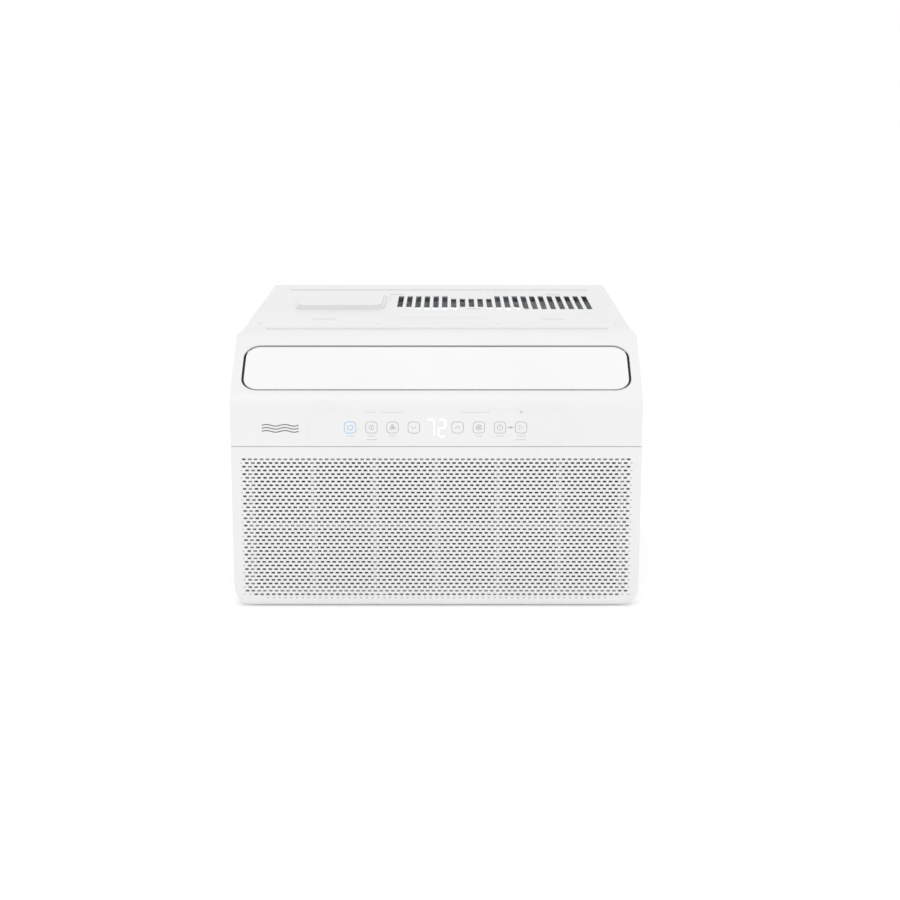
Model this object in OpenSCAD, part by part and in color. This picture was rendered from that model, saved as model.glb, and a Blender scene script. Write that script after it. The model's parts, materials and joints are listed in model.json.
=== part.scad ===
// Window air conditioner: steel chassis and sleeve, plastic front with a hinged intake grille,
// a hinged outlet flap over nine tied vanes, and the whole cooling unit inside.
// Origin: middle of the footprint at the bottom. +X right, -Y the room side, +Z up. Millimetres.

/* [Overall] */
// Width of the cabinet and of the front
body_w = 480; // [400:5:600]
// Height from the bottom of the base pan to the top sheet
body_h = 312.5; // [305:2.5:380]
// Depth from the front plane to the rear edge of the cabinet
body_d = 538; // [520:2:660]

/* [Front] */
// Depth of the plastic front frame
front_d = 120.7; // [118:0.1:125]
// Wall of the plastic front frame and of the intake grille
front_wall = 2.5; // [2:0.1:3]
// Height of the plastic front above the grille seam
head_h = 116.7; // [114:0.1:120]
// Angle of the outlet face above horizontal
outlet_angle = 34.8; // [33:0.1:36]
// Height of the outlet face, from the sharp front edge up to the deck
outlet_rise = 58.65; // [56:0.05:62]
// Radius between the vertical front and the outlet face
nose_r = 26; // [18:1:30]
// Radius of the two bottom corners seen from the front
corner_r = 25; // [18:1:30]
// Thickness of the intake grille from front to back
grille_d = 14; // [13:0.5:15]
// Gap along the seam round the grille
seam_gap = 0.6; // [0.5:0.1:1]

/* [Outlet flap] */
// Length of the flap along the width of the front
flap_w = 451; // [360:1:460]
// Width of the flap up the outlet face
flap_l = 69.5; // [66:0.5:70]
// Thickness of the flap skin
flap_t = 3; // [2.5:0.1:3.2]
// Corner radius of the flap
flap_r = 17; // [8:1:24]
// Gap between the flap and its opening at the back and at the sides
flap_gap = 3; // [2.8:0.1:3.4]
// Radius of the pins that the flap turns on
flap_pin_r = 1.5; // [1.2:0.1:1.5]

/* [Vanes] */
// Number of vanes in the outlet
vane_count = 9; // [9:1:9]
// Distance between neighbouring vanes
vane_pitch = 46; // [36:1:48]
// Length of a vane along the air stream
vane_chord = 28; // [22:1:32]
// Radius of the vane pivot pins
vane_pin_r = 1.6; // [1.3:0.1:2]

/* [Cabinet] */
// Thickness of the cabinet sheet
sheet_t = 1; // [0.8:0.1:1.5]
// Height of the raised cover over the compressor
hump_h = 5.6; // [4:0.1:8]
// Distance between the inlet slots in the top
slot_pitch = 12; // [11:0.5:13]
// Width of one inlet slot
slot_w = 7.4; // [5:0.1:8]
// Radius of the holes for the top rail screws
rail_hole_r = 1.7; // [1.2:0.1:2.2]

/* [Air side] */
// Outer radius of the blower wheel
blower_r = 66; // [50:1:68]
// Outer radius of the outdoor fan's slinger ring
fan_r = 115; // [90:1:116]
// Radius of the fan shaft
shaft_r = 4; // [3:0.5:6]
// Radius of the fan motor
motor_r = 46; // [35:1:56]

/* [Cooling circuit] */
// Radius of the compressor shell
compressor_r = 56; // [45:1:66]
// Radius of the evaporator and condenser tubes
coil_tube_r = 3.5; // [2.5:0.1:4.5]
// Thickness of the evaporator from front to back
evaporator_d = 32; // [24:1:34]
// Thickness of the condenser from front to back
condenser_d = 34; // [24:1:38]

/* [Hidden] */
vane_nodes = [for (i = [1:vane_count]) str("vane_", i)];

eps = 0.01;
half_w = body_w / 2;
floor_t = 1.2;                 // sheet of the base pan
seam_z = body_h - head_h;      // underside of the control strip
nose_z = body_h - outlet_rise; // height of the sharp front edge of the outlet face
ca = cos(outlet_angle);
sa = sin(outlet_angle);
part_gap = 0.3;                // clear space between pieces that only stand side by side
pin_gap = 0.05;                // radial clearance of a pin in its hole

// A point on the outlet face frame (s up the face, n out of it) as [y, z]
function on_face(s, n) = [s * ca - n * sa, nose_z + s * sa + n * ca];
// The point at height z on the line that runs square into the face at s
function face_line(s, z) = on_face(s, (z - nose_z - s * sa) / ca);
function arc(c, r, a0, a1, n) = [for (i = [0:n]) let (a = a0 + (a1 - a0) * i / n) c + r * [cos(a), sin(a)]];

module extrude_x(w) rotate([90, 0, 90]) linear_extrude(w, center = true) children();
module extrude_y(y0, y1) translate([0, y1, 0]) rotate([90, 0, 0]) linear_extrude(y1 - y0) children();
module face_frame() translate([0, 0, nose_z]) rotate([outlet_angle, 0, 0]) children();
module mirror_x() { children(); mirror([1, 0, 0]) children(); }
// A box given by its lowest and highest corners
module block(lo, hi) translate(lo) cube(hi - lo);
// Cylinders along X and Y, from a start to an end
module rod_x(x0, x1, r, at) translate([x0, at[0], at[1]]) rotate([0, 90, 0])
    cylinder(h = x1 - x0, r = r, $fn = 48);
module rod_y(y0, y1, r, at) translate([at[0], y0, at[1]]) rotate([-90, 0, 0])
    cylinder(h = y1 - y0, r = r, $fn = 64);
module rod_z(z0, z1, r, at) translate([at[0], at[1], z0]) cylinder(h = z1 - z0, r = r, $fn = 64);
module rounded(w, h, r) {
    square([w - 2 * r, h], center = true);
    square([w, h - 2 * r], center = true);
    for (x = [-1, 1], y = [-1, 1]) translate([x * (w / 2 - r), y * (h / 2 - r)]) circle(r, $fn = 48);
}

// ---- Front frame ----
frame_y = grille_d + 2.3;      // front of the frame wall behind the grille
front_z = 1;                   // bottom of the plastic front
deck_r = 6;                    // radius between the outlet face and the deck
nose_turn = 90 - outlet_angle;
deck_y = outlet_rise / tan(outlet_angle);
inlet_w = body_w - 36;         // air inlet behind the grille
inlet_z0 = 17;
inlet_z1 = seam_z - 6;
pan_step_w = body_w - 2 * corner_r - 4; // width of the pan inside the plastic front

// The front frame's side profile, drawn inwards by t
function frame_profile(t) = concat(
    [[frame_y + t, front_z + t], [frame_y + t, seam_z + seam_gap + t], [t, seam_z + seam_gap + t]],
    arc([nose_r, nose_z - nose_r * tan(nose_turn / 2)], nose_r - t, 180, 180 - nose_turn, 10),
    arc([deck_y + deck_r * tan(outlet_angle / 2), body_h - deck_r], deck_r - t, 90 + outlet_angle, 90, 5),
    [[front_d + (t > 0 ? 1 : 0), body_h - t], [front_d + (t > 0 ? 1 : 0), front_z + t]]);

// The front seen from the room, drawn inwards by t: square on top, round at the bottom
module front_outline(t, top) {
    r = corner_r - t;
    translate([-half_w + t, front_z + t + r]) square([body_w - 2 * t, top - front_z - t - r]);
    translate([-half_w + t + r, front_z + t]) square([body_w - 2 * t - 2 * r, r + 1]);
    for (x = [-1, 1]) translate([x * (half_w - t - r), front_z + t + r]) circle(r, $fn = 64);
}

flap_s0 = 14.7;                // lower edge of the flap on the outlet face
flap_low_gap = 2.3;            // gap below the flap
open_s0 = flap_s0 - flap_low_gap;
open_s1 = flap_s0 + flap_l + flap_gap;
open_w = flap_w + 2 * flap_gap;
catch_x = half_w - 90;         // the two snap catches that hold the grille shut
catch_z = seam_z - 8;

module front_frame() color("#f4f4f4") difference() {
    union() {
        difference() {
            intersection() {
                extrude_x(body_w) polygon(frame_profile(0));
                extrude_y(-1, front_d) front_outline(0, body_h);
            }
            intersection() {
                extrude_x(body_w) polygon(frame_profile(front_wall));
                extrude_y(-1, front_d + 1) front_outline(front_wall, body_h - front_wall);
            }
            block([-inlet_w / 2, frame_y - 1, inlet_z0], [inlet_w / 2, frame_y + front_wall + 1, inlet_z1]);
            block([-pan_step_w / 2 - part_gap, frame_y + front_wall, 0],
                  [pan_step_w / 2 + part_gap, front_d + 1, front_z + front_wall + 1]);
            face_frame() translate([0, (open_s0 + open_s1) / 2, -10]) linear_extrude(20)
                rounded(open_w, open_s1 - open_s0, flap_r + flap_gap);
            // seat of the touch panel and the light window behind it
            block([-panel_w / 2, -1, panel_z0], [panel_w / 2, panel_t, panel_z1]);
            block([-window_w / 2, -1, window_z0], [window_w / 2, front_wall + 1, window_z1]);
        }
        mirror_x() hinge_bracket();
    }
    mirror_x() {
        // pockets for the grille catches and holes for the frame screws
        block([catch_x - 7, frame_y - 1, catch_z - 4],
            [catch_x + 7, frame_y + front_wall + 1, catch_z + 5]);
        rod_y(frame_y - 1, frame_y + front_wall + 1, screw_hole_r, [frame_screw_x, frame_screw_z]);
        rod_x(half_w - 50, half_w - 20, grille_pin_r + pin_gap, [hinge_y, hinge_z]);
    }
    rod_x(half_w - 6, half_w + 1, gland_r, [gland_y, gland_z]);
}

// ---- Touch panel and display ----
panel_w = 300;
panel_t = 0.8;
panel_z0 = seam_z + 5;
panel_z1 = seam_z + 44;
window_w = 44;
window_z0 = seam_z + 9;
window_z1 = seam_z + 36;

module control_overlay() color("#f0f0f0")
    block([-panel_w / 2 + 0.05, 0, panel_z0 + 0.05], [panel_w / 2 - 0.05, panel_t, panel_z1 - 0.05]);

board_y = 7.5;
module display_board() color("#2f6b4a") difference() {
    union() {
        block([-135, board_y, seam_z + 6], [135, board_y + 1.6, seam_z + 42]);
        // posts that hold the board on the back of the control strip
        for (x = [-125, 125], z = [12, 36]) rod_y(front_wall, board_y, 2.5, [x, seam_z + z]);
    }
    for (x = [-100:25:100]) rod_y(board_y - 1, board_y + 3, 1, [x, seam_z + 38]);
}

digit_h = 21.4;
module display_digits() color("white")
    for (x = [-6.6, 6.6]) translate([x, board_y, seam_z + 23]) digit_module();
module digit_module() difference() {
    block([-6, -4, -digit_h / 2 - 1], [6, 0, digit_h / 2 + 1]);
    for (z = [-1, 1]) block([-3, -5, z * 5.4 - 3.4], [3, -3, z * 5.4 + 3.4]);
}

// ---- Intake grille, turning on two pins at its bottom edge ----
hinge_y = 8;
hinge_z = front_z + 8;
grille_pin_r = 2.5;
grille_edge_r = 8;             // round bottom edge, centred on the hinge
grille_top = seam_z;
hole_rows = 19;
hole_cols = 16;
hole_field_w = body_w - 34;
hole_field_z0 = 13;
hole_field_z1 = grille_top - 13;
ear_x0 = half_w - 46;

function grille_profile(t) = concat(
    arc([hinge_y, hinge_z], grille_edge_r - t, 180, 270, 8),
    t > 0 ? [[grille_d + 9, hinge_z - grille_edge_r + t]] : [[hinge_y, hinge_z], [grille_d, hinge_z]],
    [[grille_d + (t > 0 ? 9 : 0), grille_top - t], [t, grille_top - t]]);

module grille_field() {
    px = hole_field_w / hole_cols;
    pz = (hole_field_z1 - hole_field_z0) / hole_rows;
    for (r = [0:hole_rows - 1], c = [0:hole_cols - 1])
        let (x = (c - (hole_cols - 1) / 2) * px, z = hole_field_z0 + (r + 0.5) * pz)
            if (z > corner_r || abs(x) < half_w - corner_r - 10)
                translate([x, z]) square([px * 0.8, pz * 0.5], center = true);
}

module intake_grille() color("#efefef") {
    difference() {
        intersection() {
            extrude_x(body_w) polygon(grille_profile(0));
            extrude_y(-1, grille_d + 1) front_outline(0, grille_top);
        }
        intersection() {
            extrude_x(body_w) polygon(grille_profile(front_wall));
            extrude_y(-1, grille_d + 9) front_outline(front_wall, grille_top - front_wall);
        }
        extrude_y(-1, front_wall + 1) grille_field();
    }
    mirror_x() {
        // hinge ear and pin
        difference() {
            union() {
                block([ear_x0, front_wall - 0.5, hinge_z - 3], [ear_x0 + 4, hinge_y + 3, hinge_z + 5]);
                rod_x(ear_x0, ear_x0 + 13, grille_pin_r, [hinge_y, hinge_z]);
            }
        }
        // snap catch
        block([catch_x - 5, front_wall - 0.5, catch_z - 1], [catch_x + 5, frame_y + 3, catch_z + 1]);
        block([catch_x - 5, frame_y + front_wall + 0.4, catch_z - 1],
            [catch_x + 5, frame_y + front_wall + 2.4, catch_z + 3]);
        // ledges that carry the filter
        block([60, front_wall - 0.5, filter_z0 - 2], [76, filter_y1, filter_z0]);
        block([60, front_wall - 0.5, filter_z1 + 0.1], [76, filter_y1, filter_z1 + 1.6]);
    }
}

// Bracket on the front frame that carries one grille pin
module hinge_bracket() {
    x0 = ear_x0 + 5;
    x1 = ear_x0 + 11;
    rod_x(x0, x1, grille_edge_r - front_wall - 0.5, [hinge_y, hinge_z]);
    block([x0, hinge_y, hinge_z - 2], [x1, frame_y + 0.5, hinge_z + 5]);
}

// ---- Air filter ----
filter_w = body_w - 40;
filter_y0 = front_wall + 0.8;
filter_y1 = filter_y0 + 5;
filter_z0 = 17;
filter_z1 = seam_z - 12;
filter_rim = 6;

module filter_frame() color("#d9dcdf") difference() {
    extrude_y(filter_y0, filter_y1) difference() {
        translate([-filter_w / 2, filter_z0]) square([filter_w, filter_z1 - filter_z0]);
        for (i = [0:5], j = [0:1])
            let (cw = (filter_w - filter_rim) / 6, ch = (filter_z1 - filter_z0 - filter_rim) / 2)
                translate([-filter_w / 2 + filter_rim + i * cw, filter_z0 + filter_rim + j * ch])
                    square([cw - filter_rim, ch - filter_rim]);
    }
    // the corners clear the round corners of the grille
    for (x = [-1, 1]) translate([x * filter_w / 2, 0, filter_z0]) rotate([0, 45, 0])
        cube([12, 40, 12], center = true);
    block([-filter_w / 2 + 3, filter_y0 + 2.2, filter_z0 + 3],
        [filter_w / 2 - 3, filter_y0 + 2.8, filter_z1 - 3]);
    mirror_x() block([catch_x - 8, 0, filter_z1 - 3], [catch_x + 8, 40, filter_z1 + 1]);
}
module filter_mesh() color("#9aa3aa")
    block([-filter_w / 2 + 12, filter_y0 + 2.25, filter_z0 + 3.05],
        [filter_w / 2 - 12, filter_y0 + 2.75, filter_z1 - 3.05]);

// ---- Outlet flap ----
flap_pivot_s = flap_s0 + flap_l - 4; // the pivot lies 4 in from the rear edge
flap_pivot_n = -flap_t - 1.3;
duct_half = flap_w / 2 - 11.5;       // half the inside width of the duct
duct_t = 2.5;
flap_ear_x = duct_half - 8;
flap_ear_l = 13;
rim_x = open_w / 2 + 0.5;            // inside of the rim that closes the outlet and carries the flap
rim_t = 1.5;

module flap_axis(x0, x1, r) translate([x0, flap_pivot_s, flap_pivot_n]) rotate([0, 90, 0])
    cylinder(h = x1 - x0, r = r, $fn = 48);

module outlet_flap() color("#fafafa") face_frame() difference() {
    union() {
        translate([0, flap_s0 + flap_l / 2, -flap_t]) linear_extrude(flap_t)
            rounded(flap_w, flap_l, flap_r);
        // stiffening ribs under the skin
        for (s = [22, 44])
            block([-flap_ear_x, flap_s0 + s, -flap_t - 3],
                [flap_ear_x, flap_s0 + s + 1.6, -flap_t + 0.5]);
        mirror_x() block([flap_ear_x, flap_pivot_s - 2.6, flap_pivot_n - 2.2],
                         [flap_ear_x + flap_ear_l, flap_pivot_s + 2.6, -flap_t + 0.5]);
        flap_axis(flap_ear_x + 1, rim_x + rim_t + 0.5, flap_pin_r);
    }
    flap_axis(-flap_ear_x - flap_ear_l - 1, -flap_ear_x + 1, flap_pin_r + 0.02);
}

flap_motor_x = rim_x + rim_t + 0.1;
flap_motor_l = half_w - front_wall - part_gap - flap_motor_x;
module flap_motor_shaft() color("silver") face_frame()
    flap_axis(-flap_motor_x - flap_motor_l + 1, -flap_ear_x - 1, flap_pin_r);

flap_can_r = 9;
flap_can_n = -front_wall - part_gap - flap_can_r;
flap_screw_s = 12.5;
module flap_motor() color("#b8bcc0") face_frame() difference() {
    union() {
        translate([-flap_motor_x - flap_motor_l, flap_pivot_s, flap_can_n]) rotate([0, 90, 0])
            cylinder(h = flap_motor_l, r = flap_can_r, $fn = 64);
        block([-flap_motor_x - 1.2, flap_pivot_s - 16, flap_can_n - 3.5],
            [-flap_motor_x, flap_pivot_s + 16, flap_can_n + 3.5]);
    }
    flap_axis(-flap_motor_x - flap_motor_l + 0.9, -flap_motor_x + 1, flap_pin_r + pin_gap);
    for (s = [-1, 1]) translate([-flap_motor_x - 3, flap_pivot_s + s * flap_screw_s, flap_can_n])
        rotate([0, 90, 0])
        cylinder(h = 4, r = 1.3, $fn = 24);
}
module flap_motor_screws() color("silver") face_frame() for (s = [-1, 1])
    translate([-flap_motor_x, flap_pivot_s + s * flap_screw_s, flap_can_n]) rotate([0, 90, 0]) {
        translate([0, 0, -2.8]) cylinder(h = 1.55, r = 2.4, $fn = 24);
        translate([0, 0, -1.6]) cylinder(h = 3, r = 1.2, $fn = 24);
    }

// ---- Outlet duct ----
duct_s0 = open_s0 + 0.6;
duct_s1 = open_s1 + 2.8;
duct_floor_z = seam_z + 10.5;
duct_roof_z = body_h - 50;
duct_y1 = 146;
duct_top_n = -9;               // the duct ends in the floor of the rim
rim_floor_n = -8.5;

function duct_profile(t) = [
    on_face(duct_s0 - t, duct_top_n + (t > 0 ? 0 : 1)), face_line(duct_s0 - t, duct_floor_z - t),
    [duct_y1 + t, duct_floor_z - t], [duct_y1 + t, duct_roof_z + t],
    face_line(duct_s1 + t, duct_roof_z + t), on_face(duct_s1 + t, duct_top_n + (t > 0 ? 0 : 1))];

module outlet_duct() color("#e6e6e6") difference() {
    union() {
        difference() {
            extrude_x(2 * (duct_half + duct_t)) polygon(duct_profile(duct_t));
            extrude_x(2 * duct_half) polygon(duct_profile(0));
        }
        // shallow rim that closes the outlet round the flap and carries its pins
        face_frame() difference() {
            block([-rim_x - rim_t, duct_s0 - duct_t, rim_floor_n - 1.5],
                [rim_x + rim_t, duct_s1 + duct_t, -front_wall - part_gap]);
            block([-rim_x, duct_s0, rim_floor_n], [rim_x, duct_s1, 1]);
            block([-duct_half, duct_s0, rim_floor_n - 3], [duct_half, duct_s1, 1]);
        }
        // plate that carries the flap motor
        face_frame() block([-rim_x - rim_t, flap_pivot_s - 17, flap_can_n - 5],
            [-rim_x, flap_pivot_s + 17, rim_floor_n]);
    }
    block([fan_x - volute_r1, scroll_y0 + scroll_t, duct_floor_z - duct_t - 1],
          [fan_x - volute_tongue, duct_y1 - 4, duct_floor_z + 1]);
    face_frame() {
        flap_axis(rim_x - 1, rim_x + rim_t + 1, flap_pin_r + pin_gap);
        flap_axis(-rim_x - rim_t - 1, -rim_x + 1, flap_pin_r + pin_gap);
        for (s = [-1, 1])
            translate([-rim_x - rim_t - 1, flap_pivot_s + s * flap_screw_s, flap_can_n])
                rotate([0, 90, 0])
            cylinder(h = rim_t + 2, r = 1.22, $fn = 24);
        for (i = [1:vane_count]) translate([vane_x(i), 0, vane_n]) {
            translate([0, duct_s0 - duct_t - 1, 0]) rotate([-90, 0, 0])
                cylinder(h = duct_t + 2, r = vane_pin_r + pin_gap, $fn = 32);
            translate([0, duct_s1 - 1, 0]) rotate([-90, 0, 0])
                cylinder(h = duct_t + 2, r = vane_pin_r + pin_gap, $fn = 32);
        }
    }
}

// ---- Vanes and the bar that ties them ----
vane_n = -38;                  // depth of the vane pivots below the outlet face
vane_t = 1.6;
crank_n = vane_n - 9;          // depth of the pins that the tie bar joins
tie_s = (duct_s0 + duct_s1) / 2;
tie_w = 5;
notch_w = 8;
crank_r = 1.4;
function vane_x(i) = (i - (vane_count + 1) / 2) * vane_pitch;

module vane(i) color("#e2e2e2") face_frame() translate([vane_x(i), 0, 0]) {
    difference() {
        block([-vane_t / 2, duct_s0 + 1.2, vane_n - vane_chord / 2],
            [vane_t / 2, duct_s1 - 1.2, vane_n + vane_chord / 2]);
        block([-5, tie_s - notch_w / 2, vane_n - vane_chord], [5, tie_s + notch_w / 2, crank_n + 6]);
    }
    // pivot pins, and the crank pin across the notch
    translate([0, duct_s0 - duct_t, vane_n]) rotate([-90, 0, 0])
        cylinder(h = duct_t + 4, r = vane_pin_r, $fn = 32);
    translate([0, duct_s1 - 4, vane_n]) rotate([-90, 0, 0])
        cylinder(h = duct_t + 4, r = vane_pin_r, $fn = 32);
    translate([0, tie_s - notch_w / 2 - 2, crank_n]) rotate([-90, 0, 0])
        cylinder(h = notch_w + 4, r = crank_r, $fn = 32);
    // finger tab on the middle vane
    if (i == (vane_count + 1) / 2)
        block([-vane_t / 2, tie_s - 5, vane_n + vane_chord / 2 - 1],
            [vane_t / 2, tie_s + 5, vane_n + vane_chord / 2 + 5]);
}

module vane_tie_bar() color("#d8d8d8") face_frame() difference() {
    block([vane_x(1) - 5, tie_s - tie_w / 2, crank_n - 3],
        [vane_x(vane_count) + 5, tie_s + tie_w / 2, crank_n + 3]);
    for (i = [1:vane_count]) translate([vane_x(i), tie_s - tie_w, crank_n]) rotate([-90, 0, 0])
        cylinder(h = 2 * tie_w, r = crank_r + 0.08, $fn = 32);
}

// ---- Blower ----
fan_x = half_w - 165;          // axis of the fan shaft
fan_z = 125;
scroll_y0 = 62;
scroll_y1 = 148;
scroll_t = 5;
volute_r0 = blower_r + 5;
volute_r1 = blower_r + 26;
volute_tongue = 14;

// Spiral housing outline about the shaft, opening upwards on the left, grown by t
function volute(t, top) = concat(
    [for (i = [0:36]) let (a = 90 - 270 * i / 36,
        r = volute_r0 + t + (volute_r1 - volute_r0) * i / 36) r * [cos(a), sin(a)]],
    [[-volute_r1 - t, top], [-volute_tongue + t, top]]);

module blower_scroll() color("#dcdcdc") difference() {
    union() {
        translate([fan_x, 0, fan_z]) extrude_y(scroll_y0, scroll_y1)
            polygon(volute(scroll_t, duct_floor_z - duct_t - part_gap - fan_z));
        block([fan_x - 62, scroll_y0, floor_t + 0.05], [fan_x + 62, scroll_y1, fan_z - volute_r0 + 10]);
    }
    translate([fan_x, 0, fan_z]) extrude_y(scroll_y0 + scroll_t, scroll_y1 - scroll_t)
        polygon(volute(0, duct_floor_z - fan_z));
    rod_y(scroll_y0 - 1, scroll_y0 + scroll_t + 1, blower_r - 13, [fan_x, fan_z]);
    rod_y(scroll_y1 - scroll_t - 1, scroll_y1 + 1, 16, [fan_x, fan_z]);
}

wheel_y0 = scroll_y0 + scroll_t + 4;
wheel_y1 = scroll_y1 - scroll_t - 4;
blade_count = 36;
module blower_wheel() color("#3a3d40") difference() {
    translate([fan_x, 0, fan_z]) union() {
        rod_y(wheel_y1 - 2, wheel_y1, blower_r, [0, 0]);
        rod_y(wheel_y1 - 24, wheel_y1 - 1, 12, [0, 0]);
        difference() {
            rod_y(wheel_y0, wheel_y0 + 3, blower_r, [0, 0]);
            rod_y(wheel_y0 - 1, wheel_y0 + 4, blower_r - 11, [0, 0]);
        }
        for (i = [0:blade_count - 1]) rotate([0, i * 360 / blade_count, 0])
            translate([blower_r - 10.5, 0, 0]) rotate([0, -28, 0])
                block([0, wheel_y0 + 0.5, -0.6], [10.5, wheel_y1 - 0.5, 0.6]);
    }
    rod_y(wheel_y0, wheel_y1 + 1, shaft_r + 0.02, [fan_x, fan_z]);
}

// ---- Shaft, motor and outdoor fan ----
bulkhead_y = 152;
motor_y0 = 206;
motor_y1 = 282;
shroud_y = body_d - 86;
fan_hub_y0 = shroud_y - 8;
fan_hub_y1 = shroud_y + 22;
shaft_y0 = wheel_y1 - 34;
shaft_y1 = fan_hub_y1 + 9;

module fan_shaft() color("silver") rod_y(shaft_y0, shaft_y1, shaft_r, [fan_x, fan_z]);

module fan_motor() color("#8d9196") difference() {
    union() {
        rod_y(motor_y0, motor_y1, motor_r, [fan_x, fan_z]);
        rod_y(motor_y0 - 8, motor_y1 + 8, motor_r - 12, [fan_x, fan_z]);
        rod_y(motor_y0 - 18, motor_y1 + 18, 14, [fan_x, fan_z]);
    }
    rod_y(motor_y0 - 20, motor_y1 + 20, shaft_r + pin_gap, [fan_x, fan_z]);
}

ring_y = [motor_y0 - 17, motor_y1 + 9];  // clear of the end bells
module motor_rings() color("#26282a") for (y = ring_y) difference() {
    rod_y(y, y + 8, 20, [fan_x, fan_z]);
    rod_y(y - 1, y + 9, 14.02, [fan_x, fan_z]);
}

module motor_bracket() color("#c4c8cb") {
    foot_z = floor_t + 0.05;
    difference() {
        union() for (y = ring_y) {
            rod_y(y + 3, y + 5, 27, [fan_x, fan_z]);
            block([fan_x - 27, y + 3, foot_z], [fan_x + 27, y + 5, fan_z]);
        }
        for (y = ring_y) {
            rod_y(y, y + 8, 20.02, [fan_x, fan_z]);
            block([fan_x - 15, y, foot_z + 12], [fan_x + 15, y + 8, fan_z - 32]);
        }
    }
    block([fan_x - 27, motor_y0 - 13, foot_z], [fan_x + 27, motor_y1 + 13, foot_z + 2]);
}

module outdoor_fan() color("#3a3d40") difference() {
    translate([fan_x, 0, fan_z]) union() {
        rod_y(fan_hub_y0, fan_hub_y1, 26, [0, 0]);
        difference() {
            rod_y(shroud_y + 4, shroud_y + 12, fan_r, [0, 0]);
            rod_y(shroud_y + 3, shroud_y + 13, fan_r - 3, [0, 0]);
        }
        for (i = [0:4]) rotate([0, i * 72, 0]) translate([0, shroud_y + 8, 0]) rotate([24, 0, 0])
            block([22, -1, -27], [fan_r - 1.5, 1, 27]);
    }
    rod_y(fan_hub_y0 - 1, fan_hub_y1 + 1, shaft_r + 0.02, [fan_x, fan_z]);
    // trims the blade corners to the ring
    difference() {
        rod_y(shroud_y - 30, shroud_y + 50, fan_r + 20, [fan_x, fan_z]);
        rod_y(shroud_y - 31, shroud_y + 51, fan_r, [fan_x, fan_z]);
    }
}

module shaft_nuts() color("silver") for (y = [fan_hub_y1 + 0.05, wheel_y1 - 24 - 5.05]) difference() {
    translate([fan_x, y, fan_z]) rotate([-90, 0, 0]) cylinder(h = 5, r = shaft_r + 4, $fn = 6);
    rod_y(y - 1, y + 6, shaft_r + 0.02, [fan_x, fan_z]);
}

shroud_hole_r = fan_r + 4;
module fan_shroud() color("#cfd2d4") difference() {
    union() {
        block([-half_w + 4, shroud_y, floor_t + 0.05], [half_w - 4, shroud_y + 1.2, body_h - 12]);
        block([-half_w + 4, shroud_y, body_h - 13.2], [half_w - 4, condenser_y0 - 1, body_h - 12]);
        mirror_x() block([half_w - 5.2, shroud_y, floor_t + 0.05],
            [half_w - 4, condenser_y0 - 1, body_h - 12]);
    }
    rod_y(shroud_y - 1, shroud_y + 3, shroud_hole_r, [fan_x, fan_z]);
}

// ---- Coils ----
// A bank of straight tubes along X in two staggered rows, joined by return bends
module tube_bank(x0, x1, y, rows, z0, pitch, dy) {
    for (row = [0, 1], i = [0:rows - 1])
        rod_x(x0, x1, coil_tube_r, [y + row * dy, z0 + (i + row * 0.5) * pitch]);
    for (row = [0, 1], i = [0:rows - 2])
        translate([i % 2 == 0 ? x1 : x0, y + row * dy, z0 + (i + 0.5 + row * 0.5) * pitch])
            return_bend(i % 2 == 0 ? 1 : -1, pitch / 2);
}
module return_bend(side, r) rotate([90, 0, 0]) rotate([0, 0, side > 0 ? -90 : 90])
    rotate_extrude(angle = 180, $fn = 48) translate([r, 0]) circle(coil_tube_r, $fn = 32);

coil_pitch = 21;
evaporator_y0 = frame_y + front_wall + 5;
evaporator_z0 = 22;
evaporator_x = half_w - 38;
evaporator_rows = floor((seam_z - 14 - evaporator_z0) / coil_pitch);
evaporator_z1 = evaporator_z0 + evaporator_rows * coil_pitch;
evaporator_tube_y = evaporator_y0 + evaporator_d / 2 - 8;

module tube_holes(x, y, rows, z0) for (row = [0, 1], i = [0:rows - 1])
    rod_x(-x - 1, x + 1, coil_tube_r + pin_gap, [y + row * 16, z0 + (i + row * 0.5) * coil_pitch]);

module evaporator_fins() color("#b9c4cc") difference() {
    block([-evaporator_x, evaporator_y0, evaporator_z0],
        [evaporator_x, evaporator_y0 + evaporator_d, evaporator_z1]);
    tube_holes(evaporator_x, evaporator_tube_y, evaporator_rows, evaporator_z0 + 6);
}
module evaporator_tubes() color("#b87345")
    tube_bank(-evaporator_x - 4, evaporator_x + 4, evaporator_tube_y, evaporator_rows,
        evaporator_z0 + 6, coil_pitch, 16);

module drip_tray() color("#ececec") difference() {
    block([-pan_step_w / 2 + 3, evaporator_y0 - 3, floor_t + 0.05],
        [pan_step_w / 2 - 3, scroll_y0 - 0.2, evaporator_z0 + 4]);
    block([-evaporator_x - 0.2, evaporator_y0 - 0.2, evaporator_z0],
        [evaporator_x + 0.2, evaporator_y0 + evaporator_d + 0.2, evaporator_z0 + 9]);
    block([-evaporator_x + 8, evaporator_y0 + 4, 6],
        [evaporator_x - 8, evaporator_y0 + evaporator_d - 4, evaporator_z0 + 1]);
    mirror_x() {
        block([evaporator_x - 1, evaporator_y0 + 3, evaporator_z0],
            [half_w, evaporator_y0 + evaporator_d - 3, evaporator_z0 + 9]);
        rod_y(evaporator_y0 - 4, evaporator_y0 + 4, 3, [frame_screw_x, frame_screw_z]);
    }
}

module room_sensor() color("#2c2e30") {
    rod_z(evaporator_z0 + 60, evaporator_z0 + 86, 2.4, [half_w - 60, evaporator_y0 - 2.45]);
    block([half_w - 63, evaporator_y0 - 2.6, evaporator_z0 + 69],
        [half_w - 57, evaporator_y0 - 0.02, evaporator_z0 + 76]);
}

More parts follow.
